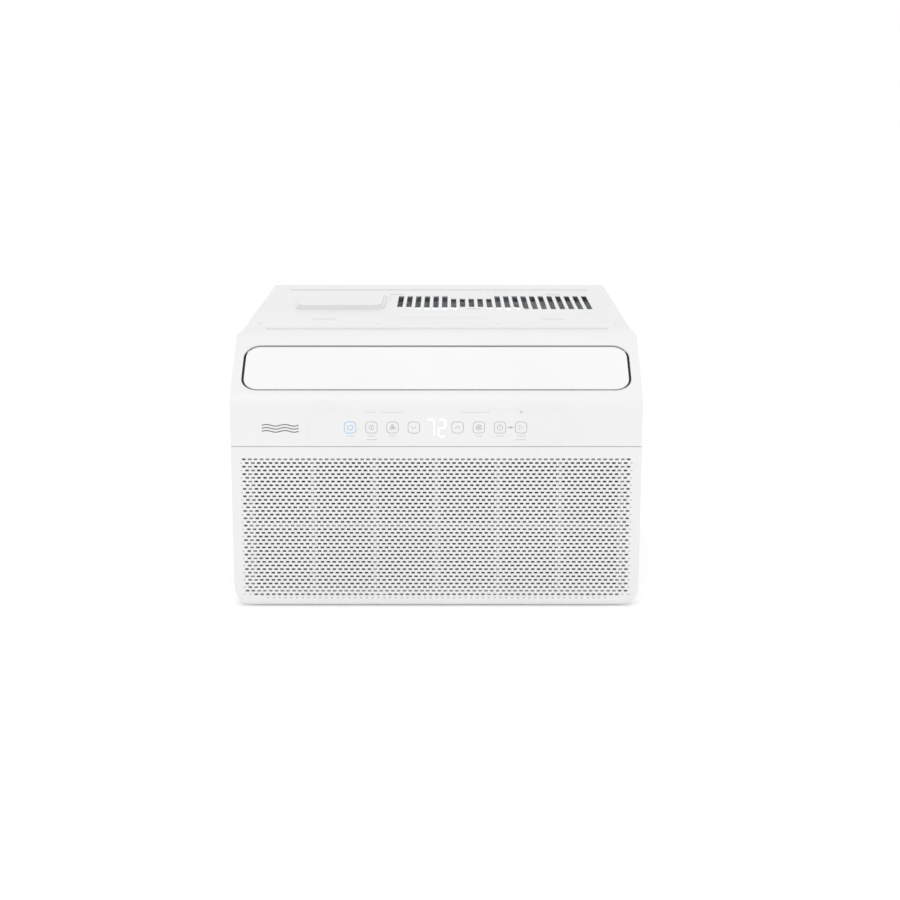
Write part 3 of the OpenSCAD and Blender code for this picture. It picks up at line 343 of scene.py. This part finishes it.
def link_mesh(name, bm, finish, body, smooth=30, replaces=()):
    """Turns a bmesh into a finished piece that rides on a body."""
    mesh = bpy.data.meshes.new(name)
    bm.to_mesh(mesh)
    bm.free()
    obj = bpy.data.objects.new(name, mesh)
    bpy.context.scene.collection.objects.link(obj)
    if smooth:
        mesh.shade_smooth()
        mesh.set_sharp_from_angle(angle=math.radians(smooth))
    paint(obj, finish)
    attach(obj, body)
    if replaces:
        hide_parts(*replaces)
    return obj


def cad_copy(node, flat=1.0):
    """A merged copy of a CAD node's mesh, with its flat faces joined."""
    bm = bmesh.new()
    bm.from_mesh(frame["nodes"][node].data)
    bmesh.ops.remove_doubles(bm, verts=bm.verts, dist=2e-6)
    bmesh.ops.dissolve_limit(
        bm, angle_limit=math.radians(flat), verts=bm.verts, edges=bm.edges, delimit={"NORMAL"})
    return bm


def soften(obj, width, segments=2, angle=32):
    """Rounds the sharp edges of a piece."""
    mod = obj.modifiers.new("edges", "BEVEL")
    mod.limit_method = "ANGLE"
    mod.angle_limit = math.radians(angle)
    mod.width = width
    mod.segments = segments
    mod.harden_normals = True
    mod.use_clamp_overlap = True
    return obj


def body_of_node(node):
    for body, members in frame["record"]["behaviour"]["bodies"].items():
        if node in members:
            return body
    raise RuntimeError(f"no body holds {node}")


def rounded_copy(node, width, segments=2, smooth=30, finish=None):
    """A CAD node's shape with rounded edges, standing for the node."""
    slot = SLOT_OF[node]
    obj = link_mesh(
        node + "_moulding", cad_copy(node), finish or slot, body_of_node(node), smooth, (node,))
    return soften(obj, width, segments)


def add_box(bm, lo, hi):
    size = Vector(hi) - Vector(lo)
    middle = (Vector(hi) + Vector(lo)) / 2
    place = Matrix.Translation(middle) @ Matrix.Diagonal((*size, 1))
    return bmesh.ops.create_cube(bm, size=1, matrix=place)["verts"]


def strokes(name, lines, width, finish, body, facing_y, replaces=()):
    """Printed lines, and strips of painted shade, on the front plane, each a list of (x, z) points, closed
    if it ends where it starts.
    """
    curve = bpy.data.curves.new(name, "CURVE")
    curve.dimensions = "3D"
    curve.bevel_depth = width / 2
    curve.bevel_resolution = 1
    curve.use_fill_caps = True
    for line in lines:
        closed = len(line) > 2 and (Vector(line[0]) - Vector(line[-1])).length < 1e-6
        points = line[:-1] if closed else line
        spline = curve.splines.new("POLY")
        spline.points.add(len(points) - 1)
        for point, (x, z) in zip(spline.points, points):
            point.co = (x, 0, z, 1)
        spline.use_cyclic_u = closed
    holder = bpy.data.objects.new(name + "_curve", curve)
    bpy.context.scene.collection.objects.link(holder)
    bpy.context.view_layer.update()
    mesh = bpy.data.meshes.new_from_object(holder)
    bpy.data.objects.remove(holder)
    bm = bmesh.new()
    bm.from_mesh(mesh)
    bpy.data.meshes.remove(mesh)
    # pressed flat, so that a line is a thin film with its back in the surface: ink for print, painted shade
    # for the grille's dimples
    film = 0.04 * MM
    bmesh.ops.scale(bm, vec=(1, 2 * film / width, 1), verts=bm.verts)
    bmesh.ops.translate(bm, vec=(0, facing_y + film * 0.5, 0), verts=bm.verts)
    return link_mesh(name, bm, finish, body, 60, replaces)


def circle_points(x, z, r, start=0.0, end=360.0, steps=24):
    out = []
    for i in range(steps + 1):
        a = math.radians(start + (end - start) * i / steps)
        out.append((x + r * math.cos(a), z + r * math.sin(a)))
    return out


def rounded_square(x, z, size, r):
    out = []
    half = size / 2 - r
    for cx, cz, start in ((half, half, 0), (-half, half, 90), (-half, -half, 180), (half, -half, 270)):
        out += circle_points(x + cx, z + cz, r, start, start + 90, 6)
    return out + out[:1]


# ---------------------------------------------------------------- perforated grille

def hole_outline(bm, length, height):
    """A loop of ten edges round one oblong hole, centred on the origin in the XZ plane."""
    r = height / 2
    half = length / 2 - r
    verts = []
    for side, start in ((1, -90), (-1, 90)):
        for i in range(5):
            a = math.radians(start + 45 * i)
            verts.append(bm.verts.new((side * half + r * math.cos(a), 0, r * math.sin(a))))
    edges = [bm.edges.new((verts[i], verts[(i + 1) % 10])) for i in range(10)]
    return verts, edges


def cell_outline(bm, px, pz):
    """A loop of six edges round one cell, with a point in the middle of its top and bottom."""
    low = [(x, -pz / 2) for x in (-px / 2, 0, px / 2)]
    corners = low + [(x, -z) for x, z in reversed(low)]
    verts = [bm.verts.new((x, 0, z)) for x, z in corners]
    edges = [bm.edges.new((verts[i], verts[(i + 1) % 6])) for i in range(6)]
    return verts, edges


def cell_mesh(px, pz, length, height, holed):
    bm = bmesh.new()
    verts, edges = cell_outline(bm, px, pz)
    if holed:
        _, inner_edges = hole_outline(bm, length, height)
        bmesh.ops.triangle_fill(bm, use_beauty=True, use_dissolve=False, edges=edges + inner_edges)
    else:
        bm.faces.new(verts)
    mesh = bpy.data.meshes.new("cell")
    bm.to_mesh(mesh)
    bm.free()
    return mesh


def row_mesh(cell, px, count):
    """One row of cells, centred on the origin."""
    bm = bmesh.new()
    for i in range(count):
        start = len(bm.verts)
        bm.from_mesh(cell)
        bm.verts.ensure_lookup_table()
        bmesh.ops.translate(bm, vec=((i - (count - 1) / 2) * px, 0, 0), verts=bm.verts[start:])
    mesh = bpy.data.meshes.new("row")
    bm.to_mesh(mesh)
    bm.free()
    return mesh


def perforated_sheet(front_y, half_w, bottom_z, corner_r):
    """The perforated wall: staggered rows of oblong holes, blank where the round corners come close."""
    s = front_sizes()
    px, pz, rows = s.hole_pitch_x, s.hole_pitch_z, s.hole_rows
    holed = cell_mesh(px, pz, s.hole_length, s.hole_height, True)
    blank = cell_mesh(px, pz, s.hole_length, s.hole_height, False)
    low_z = GRILLE_LO.z + 14.6 * MM
    corner_x = half_w - corner_r
    corner_z = bottom_z + corner_r
    clear = corner_r - 13.4 * MM
    dimples = []
    kinds = [row_mesh(holed, px, 65), row_mesh(holed, px, 66)]
    bm = bmesh.new()
    for row in range(rows):
        z = low_z + row * pz
        count = 66 if row % 2 else 65
        reach = [abs((i - (count - 1) / 2) * px) for i in range(count)]
        cornered = [
            corner_z > z and x > corner_x and math.hypot(x - corner_x, corner_z - z) > clear for x in reach]
        before = len(bm.verts)
        if any(cornered):
            for i, near in enumerate(cornered):
                x = (i - (count - 1) / 2) * px
                start = len(bm.verts)
                bm.from_mesh(blank if near else holed)
                bm.verts.ensure_lookup_table()
                bmesh.ops.translate(bm, vec=(x, 0, 0), verts=bm.verts[start:])
                if near:
                    dimples.append((x, z))
        else:
            bm.from_mesh(kinds[row % 2])
        bm.verts.ensure_lookup_table()
        bmesh.ops.translate(bm, vec=(0, 0, z), verts=bm.verts[before:])
        if row % 2 == 0:
            for side in (-1, 1):
                dimples.append((side * 33 * px, z))
                x0, x1 = side * 32.5 * px, side * 33 * px
                corners = [(x0, z - pz / 2), (x1, z - pz / 2), (x1, z + pz / 2), (x0, z + pz / 2)]
                bm.faces.new([bm.verts.new((cx, 0, cz)) for cx, cz in corners])
    for mesh in kinds:
        bpy.data.meshes.remove(mesh)
    bpy.data.meshes.remove(holed)
    bpy.data.meshes.remove(blank)
    bmesh.ops.remove_doubles(bm, verts=bm.verts, dist=1e-5)
    bmesh.ops.recalc_face_normals(bm, faces=bm.faces)
    field = (low_z - pz / 2, low_z + (rows - 0.5) * pz, 33 * px)
    back = bmesh.ops.extrude_face_region(bm, geom=bm.faces[:])
    moved = [g for g in back["geom"] if isinstance(g, bmesh.types.BMVert)]
    bmesh.ops.translate(bm, vec=(0, s.sheet, 0), verts=moved)
    bmesh.ops.translate(bm, vec=(0, front_y, 0), verts=bm.verts)
    bmesh.ops.recalc_face_normals(bm, faces=bm.faces)
    return bm, field, dimples


def cut_window(bm, low_z, high_z, half, front_y, wall):
    """Takes the plain slotted wall out of a copy of the grille, leaving a clean rectangular window."""
    for axis, at in (((1, 0, 0), half), ((1, 0, 0), -half), ((0, 0, 1), low_z), ((0, 0, 1), high_z)):
        point = Vector(axis) * at
        geom = bm.verts[:] + bm.edges[:] + bm.faces[:]
        bmesh.ops.bisect_plane(bm, geom=geom, plane_co=point, plane_no=axis, dist=1e-6)
    gone = []
    for face in bm.faces:
        c = face.calc_center_median()
        inside = abs(c.x) < half and low_z < c.z < high_z
        if inside and c.y < front_y + wall + 2e-5:
            gone.append(face)
    bmesh.ops.delete(bm, geom=gone, context="FACES")
    loose = [e for e in bm.edges if not e.link_faces]
    bmesh.ops.delete(bm, geom=loose, context="EDGES")
    # close the cut through the wall with one flat strip on each side of the window
    open_verts = {v for e in bm.edges if len(e.link_faces) == 1 for v in e.verts}
    for axis, along, at in ((0, 2, -half), (0, 2, half), (2, 0, low_z), (2, 0, high_z)):
        low, high = (low_z, high_z) if axis == 0 else (-half, half)
        side = [
            v for v in open_verts
            if abs(v.co[axis] - at) < 1e-5 and low - 1e-5 < v.co[along] < high + 1e-5]
        front = sorted((v for v in side if v.co.y < front_y + wall / 2), key=lambda v: v.co[along])
        back = sorted((v for v in side if v.co.y > front_y + wall / 2), key=lambda v: -v.co[along])
        bm.faces.new(front + back)
    # close the feet of the ledges that stood on the wall
    feet = [e for e in bm.edges if len(e.link_faces) == 1]
    if feet:
        bmesh.ops.edgenet_fill(bm, edges=feet)
    bmesh.ops.recalc_face_normals(bm, faces=bm.faces)


def build_grille():
    s = front_sizes()
    bm, (low_z, high_z, half), dimples = perforated_sheet(GRILLE_LO.y, GRILLE_HI.x, GRILLE_LO.z, 25 * MM)
    sheet = bpy.data.meshes.new("sheet")
    bm.to_mesh(sheet)
    bm.free()
    body = cad_copy("intake_grille")
    cut_window(body, low_z, high_z, half, GRILLE_LO.y, s.sheet)
    link_mesh(
        "intake_grille_panel", body, "front_plastic", "grille_door", 30, ("intake_grille",))
    holes = bmesh.new()
    holes.from_mesh(sheet)
    bpy.data.meshes.remove(sheet)
    link_mesh("grille_perforation", holes, "front_plastic", "grille_door", 40)
    row_z = GRILLE_LO.z + 10.4 * MM
    dimples += [(i * s.hole_pitch_x, row_z) for i in range(-29, 30)]
    paint_dimple_shade(dimples, s)


def paint_dimple_shade(places, s):
    """Painted shade of the shallow blind dimples round the field, where the pattern goes on without a hole:
    a pale grey film stands for the shade in each dimple.
    """
    lines = []
    half = (s.hole_length - s.hole_height) / 2
    for x, z in places:
        lines.append([(x - half, z), (x + half, z)])
    # pale grey strips of painted shade stand for the recess of each blind dimple
    strokes("grille_dimple_painted_shade", lines, s.hole_height * 0.8, "print_pale", "grille_door", GRILLE_LO.y)


# ---------------------------------------------------------------- touch panel print

def key_glyphs(x, z, kind):
    """Line drawings inside the touch keys, from points in mm about the middle of the key."""
    def line(*points):
        return [(x + px * MM, z + pz * MM) for px, pz in points]

    def ring(r, steps, start=0.0, end=360.0, at=(0, 0)):
        return circle_points(x + at[0] * MM, z + at[1] * MM, r * MM, start, end, steps)

    if kind == "power":
        return [ring(3, 20, 120, 420), line((0, 3.4), (0, 0.6))]
    if kind == "leaf":
        edge = line((-2.4, -2.6), (-2.6, 0.6), (-1.2, 2.6), (1, 3), (2.2, 1), (2, -2.6), (-2.4, -2.6))
        return [edge, line((-0.2, 1.6), (-0.2, -2.6))]
    if kind == "fan":
        turns = [math.radians(turn) for turn in (90, 210, 330)]
        blades = [ring(1.3, 12, at=(2.1 * math.cos(a), 2.1 * math.sin(a))) for a in turns]
        return [ring(0.7, 8)] + blades
    if kind == "down":
        return [line((-2.8, 1.4), (0, -1.6), (2.8, 1.4))]
    if kind == "up":
        return [line((-2.8, -1.4), (0, 1.6), (2.8, -1.4))]
    if kind == "mode":
        corners = ((-1, -1), (1, 1), (-1, 1), (1, -1))
        spokes = [line((i * 1.9, j * 1.9), (i * 0.9, j * 0.9)) for i, j in corners]
        return [ring(3.2, 20), ring(1.1, 10)] + spokes
    if kind == "clock":
        return [ring(3.2, 20), line((0, 2.1), (0, 0), (1.4, 0))]
    return [line((-2.4, 3), (2.8, 0), (-2.4, -3), (-2.4, 3))]


KEYS = ((-100.2, "power"), (-75.4, "leaf"), (-50.8, "fan"), (-26.1, "down"),
        (24.9, "up"), (49.6, "mode"), (74.2, "clock"), (98.8, "swing"))
DOTS = (-78.7, -71.9, -60.3, -54.1, -47.5, -41.3, 33.8, 40.0, 46.4, 52.6, 59.0, 74.1, 86.4, 98.7)


def build_keys():
    s = front_sizes()
    row_z = DECK_Z - 93.5 * MM
    lines = []
    blue = []
    for at, kind in KEYS:
        x = at * MM
        target = blue if kind == "power" else lines
        target.append(rounded_square(x, row_z, s.icon_size, 4 * MM))
        target.extend(key_glyphs(x, row_z, kind))
    # link between the last two keys
    lines.append([(82.6 * MM, row_z), (90.4 * MM, row_z)])
    lines.append(circle_points(86.5 * MM, row_z, 1.3 * MM, steps=10))
    strokes("key_outlines", lines, s.line_width, "print_grey", "chassis", PANEL_LO.y)
    strokes("power_key_outline", blue, s.line_width * 1.5, "lit_blue", "chassis", PANEL_LO.y)


def build_dots():
    """Indicator dots above the keys, and plain dashes where captions would be."""
    z = DECK_Z - 79.6 * MM
    dots = [[(x * MM - 0.15 * MM, z), (x * MM + 0.15 * MM, z)] for x in DOTS]
    strokes("indicator_dots", dots, 1.1 * MM, "print_pale", "chassis", PANEL_LO.y)
    rng = random.Random(7)
    dashes = []
    for x0, x1 in ((-83, -70), (-65, -38), (29, 62)):
        x = x0
        while x < x1:
            step = 1.2 + 1.6 * rng.random()
            dashes.append([(x * MM, z + 4 * MM), (min(x + step, x1) * MM, z + 4 * MM)])
            x += step + 0.9
    for at, kind in KEYS:
        if kind in ("down", "up"):
            continue
        width = 4.5 if kind != "swing" else 5.5
        dashes.append([((at - width) * MM, z - 24.1 * MM), ((at + width) * MM, z - 24.1 * MM)])
    for at in (-75.4, 98.8):
        dashes.append([((at - 6) * MM, z - 28.5 * MM), ((at + 6) * MM, z - 28.5 * MM)])
    strokes("caption_dashes", dashes, 0.8 * MM, "print_pale", "chassis", PANEL_LO.y)
    arcs = [circle_points(98.7 * MM, z + 2.6 * MM, r * MM, 45, 135, 6) for r in (0.6, 1.5, 2.4)]
    strokes("signal_mark", arcs, 0.5 * MM, "print_grey", "chassis", PANEL_LO.y)


def build_air_mark():
    """A generic mark of three air waves, to the left of the keys."""
    z = DECK_Z - 94.5 * MM
    lines = []
    for k in (-1, 0, 1):
        points = []
        for i in range(25):
            t = i / 24
            points.append(((-203 + 43 * t) * MM, z + k * 3.6 * MM + 1.0 * MM * math.sin(t * 4 * math.pi)))
        lines.append(points)
    strokes("air_wave_mark", lines, 1.5 * MM, "print_dark", "chassis", FRONT_LO.y)


SEGMENTS = {"top": (0, 2, "h"), "middle": (0, 0, "h"), "bottom": (0, -2, "h"), "upper_right": (1, 1, "v"),
            "lower_right": (1, -1, "v"), "upper_left": (-1, 1, "v"), "lower_left": (-1, -1, "v")}
DIGITS = (("top", "upper_right", "lower_right"),
          ("top", "upper_right", "middle", "lower_left", "bottom"))


def build_digits():
    """Two seven-segment figures lit through the panel."""
    z = DECK_Z - 94.1 * MM
    half_w, quarter_h = 4.2 * MM, 4.9 * MM
    lines = []
    for centre, lit_segments in zip((-6.6 * MM, 6.6 * MM), DIGITS):
        for segment in lit_segments:
            sx, sz, way = SEGMENTS[segment]
            x, y = centre + sx * half_w, z + sz * quarter_h
            if way == "h":
                lines.append([(x - half_w + 1.1 * MM, y), (x + half_w - 1.1 * MM, y)])
            else:
                lines.append([(x, y - quarter_h + 1.1 * MM), (x, y + quarter_h - 1.1 * MM)])
    strokes("temperature_digits", lines, 1.9 * MM, "display_light", "chassis", PANEL_LO.y)


# ---------------------------------------------------------------- coils, net, fan

def fin_stack(name, node):
    """A stack of thin upright fins in place of the CAD block."""
    s = coil_sizes()
    lo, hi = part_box(node)
    count = int((hi.x - lo.x) / s.fin_pitch)
    start = (lo.x + hi.x) / 2 - (count - 1) * s.fin_pitch / 2
    bm = bmesh.new()
    for i in range(count):
        x = start + i * s.fin_pitch
        add_box(bm, (x - s.fin_thickness / 2, lo.y, lo.z), (x + s.fin_thickness / 2, hi.y, hi.z))
    link_mesh(name, bm, "fin_aluminium", "chassis", 0, (node,))


def build_net():
    """Crossing threads of the filter net."""
    s = coil_sizes()
    lo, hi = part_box("filter_mesh")
    mid = (lo.y + hi.y) / 2
    thread = 0.25 * MM
    bm = bmesh.new()
    for i in range(int((hi.x - lo.x) / s.net_pitch) + 1):
        x = lo.x + thread + i * s.net_pitch
        add_box(bm, (x - thread, mid - thread * 0.9, lo.z), (x + thread, mid + thread * 0.1, hi.z))
    for i in range(int((hi.z - lo.z) / s.net_pitch) + 1):
        z = lo.z + thread + i * s.net_pitch
        add_box(bm, (lo.x, mid - thread * 0.1, z - thread), (hi.x, mid + thread * 0.9, z + thread))
    link_mesh("filter_net", bm, "filter_net", "grille_door", 0, ("filter_mesh",))


# ---------------------------------------------------------------- operators

def raised_box(bm, x0, x1, y0, y1, top, rise):
    """A box that stands on the top sheet; x0 to y1 are in mm, y from the front plane."""
    lo = (x0 * MM, FRONT_Y + y0 * MM, top - 0.2 * MM)
    add_box(bm, lo, (x1 * MM, FRONT_Y + y1 * MM, top + rise))


def build_pressings():
    """Small pressed details of the top sheet: raised tabs, a long bead, and two short slits painted as dark
    strips of shade.
    """
    top = frame_top()
    bm = bmesh.new()
    for x0, x1, y in ((-67, -48, 439), (150, 170, 439), (38, 56, 305)):
        raised_box(bm, x0, x1, y - 2.5, y + 2.5, top, 1.3 * MM)
    raised_box(bm, -49, 60, 225, 227.2, top, 0.5 * MM)
    tabs = link_mesh("top_tabs", bm, "painted_steel", "chassis", 30)
    soften(tabs, 0.4 * MM)
    bm = bmesh.new()
    # the two slits are thin dark strips: painted shade for the dark inside of each slit
    for x0, x1 in ((-159, -130), (133, 162)):
        raised_box(bm, x0, x1, 215.4, 216.6, top, 0.06 * MM)
    link_mesh("top_slit_painted_shade", bm, "print_dark", "chassis", 0)


def frame_top():
    """Height of the flat part of the top sheet, below the cover over the compressor."""
    heights = [v.co.z for v in frame["nodes"]["cabinet"].data.vertices if v.co.x > 0.1]
    return max(heights) - RIB_RISE


class AC_OT_finishes(bpy.types.Operator):
    """Makes the finishes and puts them on the CAD nodes"""
    bl_idname = "air_conditioner.finishes"
    bl_label = "Finishes"

    def execute(self, context):
        make_finishes()
        for node, obj in frame["nodes"].items():
            paint(obj, SLOT_OF[node])
        return {"FINISHED"}


class AC_OT_grille(bpy.types.Operator):
    """Models the perforated intake grille"""
    bl_idname = "air_conditioner.grille"
    bl_label = "Intake grille"

    def execute(self, context):
        build_grille()
        return {"FINISHED"}


SMOOTH_NODES = (
    "compressor", "accumulator", "fan_motor", "suction_line", "discharge_line", "liquid_line",
    "filter_drier", "capillary_tube", "evaporator_tubes", "condenser_tubes", "blower_scroll",
)


class AC_OT_mouldings(bpy.types.Operator):
    """Rounds the edges of the moulded and pressed pieces"""
    bl_idname = "air_conditioner.mouldings"
    bl_label = "Mouldings"

    def execute(self, context):
        edge = front_sizes().edge_round
        rounded_copy("front_frame", edge, 3)
        rounded_copy("outlet_flap", edge, 3, finish="flap_plastic")
        rounded_copy("cabinet", 0.8 * MM, 3)
        rounded_copy("outlet_duct", 0.3 * MM)
        build_pressings()
        for i in range(1, 10):
            rounded_copy(f"vane_{i}", 0.35 * MM)
        rounded_copy("vane_tie_bar", 0.3 * MM)
        for node in SMOOTH_NODES:
            slot = SLOT_OF[node]
            link_mesh(node + "_body", cad_copy(node), slot, body_of_node(node), 30, (node,))
        return {"FINISHED"}


class AC_OT_print(bpy.types.Operator):
    """Prints the key outlines, dots and generic mark"""
    bl_idname = "air_conditioner.print"
    bl_label = "Panel print"

    def execute(self, context):
        build_keys()
        build_dots()
        build_air_mark()
        build_digits()
        return {"FINISHED"}


class AC_OT_coils(bpy.types.Operator):
    """Models the fins of both coils and the filter net"""
    bl_idname = "air_conditioner.coils"
    bl_label = "Coils and net"

    def execute(self, context):
        fin_stack("evaporator_fin_stack", "evaporator_fins")
        fin_stack("condenser_fin_stack", "condenser_fins")
        build_net()
        return {"FINISHED"}


class AC_OT_stage(bpy.types.Operator):
    """Makes the floor, the lights and the camera"""
    bl_idname = "air_conditioner.stage"
    bl_label = "Stage"

    def execute(self, context):
        scene = context.scene
        bm = bmesh.new()
        bmesh.ops.create_grid(bm, x_segments=1, y_segments=1, size=12)
        bmesh.ops.translate(bm, vec=(0, 0, CAD_BOX[0][2] - 0.0004), verts=bm.verts)
        mesh = bpy.data.meshes.new("floor")
        bm.to_mesh(mesh)
        bm.free()
        floor = bpy.data.objects.new("floor", mesh)
        scene.collection.objects.link(floor)
        mat, _, shader = new_material("pale_floor", (0.8, 0.8, 0.8, 1), 0.9)
        shader.inputs["Emission Color"].default_value = (1, 1, 1, 1)
        shader.inputs["Emission Strength"].default_value = 0.24
        mesh.materials.append(mat)
        world = bpy.data.worlds.new("studio")
        world.use_nodes = True
        world.node_tree.nodes["Background"].inputs["Color"].default_value = (1, 1, 1, 1)
        world.node_tree.nodes["Background"].inputs["Strength"].default_value = 1.0
        scene.world = world
        area_light("key_light", (-0.1, -1.75, 2.15), (0, -0.1, 0.25), 1.0, 7.5)
        area_light("fill_light", (1.4, -1.6, 0.9), (0, 0, 0.15), 1.6, 0.3)
        area_light("top_light", (0.1, 0.5, 2.2), (0, 0.1, 0.3), 1.0, 1.2)
        # light that bounces about inside the sleeve and shows through the slots
        area_light("sleeve_glow", (0.04, 0.13, 0.292), (0.04, 0.13, 0), 0.16, 0.55)
        view = bpy.data.cameras.new("view")
        view.sensor_width = 36
        view.lens = 68.8
        camera = bpy.data.objects.new("view", view)
        camera.location = (0.01604, -1.9538 + FRONT_Y, 0.6517)
        camera.rotation_euler = (math.radians(90 - 13.237), 0, 0)
        scene.collection.objects.link(camera)
        scene.camera = camera
        scene.view_settings.view_transform = "Standard"
        return {"FINISHED"}


def area_light(name, at, towards, size, watts):
    data = bpy.data.lights.new(name, "AREA")
    data.size = size
    data.energy = watts
    lamp = bpy.data.objects.new(name, data)
    lamp.location = at
    lamp.rotation_euler = (Vector(towards) - Vector(at)).to_track_quat("-Z", "Y").to_euler()
    bpy.context.scene.collection.objects.link(lamp)


class AC_PT_panel(bpy.types.Panel):
    """Lists the steps that build the air conditioner"""
    bl_idname = "AC_PT_panel"
    bl_label = "Air conditioner"
    bl_space_type = "VIEW_3D"
    bl_region_type = "UI"
    bl_category = "Air conditioner"

    def draw(self, context):
        for step in STEPS:
            self.layout.operator(step.bl_idname)
        for group in (context.scene.ac_front, context.scene.ac_coil, context.scene.ac_colours):
            for key in group.__annotations__:
                self.layout.prop(group, key)


STEPS = (AC_OT_finishes, AC_OT_grille, AC_OT_mouldings, AC_OT_print, AC_OT_coils, AC_OT_stage)
GROUPS = (AcFrontSizes, AcCoilSizes, AcColours)


def register():
    for cls in GROUPS + STEPS + (AC_PT_panel,):
        bpy.utils.register_class(cls)
    bpy.types.Scene.ac_front = bpy.props.PointerProperty(type=AcFrontSizes)
    bpy.types.Scene.ac_coil = bpy.props.PointerProperty(type=AcCoilSizes)
    bpy.types.Scene.ac_colours = bpy.props.PointerProperty(type=AcColours)


def unregister():
    del bpy.types.Scene.ac_colours
    del bpy.types.Scene.ac_coil
    del bpy.types.Scene.ac_front
    for cls in reversed(GROUPS + STEPS + (AC_PT_panel,)):
        bpy.utils.unregister_class(cls)


def main():
    register()
    for step in STEPS:
        group, name = step.bl_idname.split(".")
        getattr(getattr(bpy.ops, group), name)()


if __name__ == "__main__":
    main()
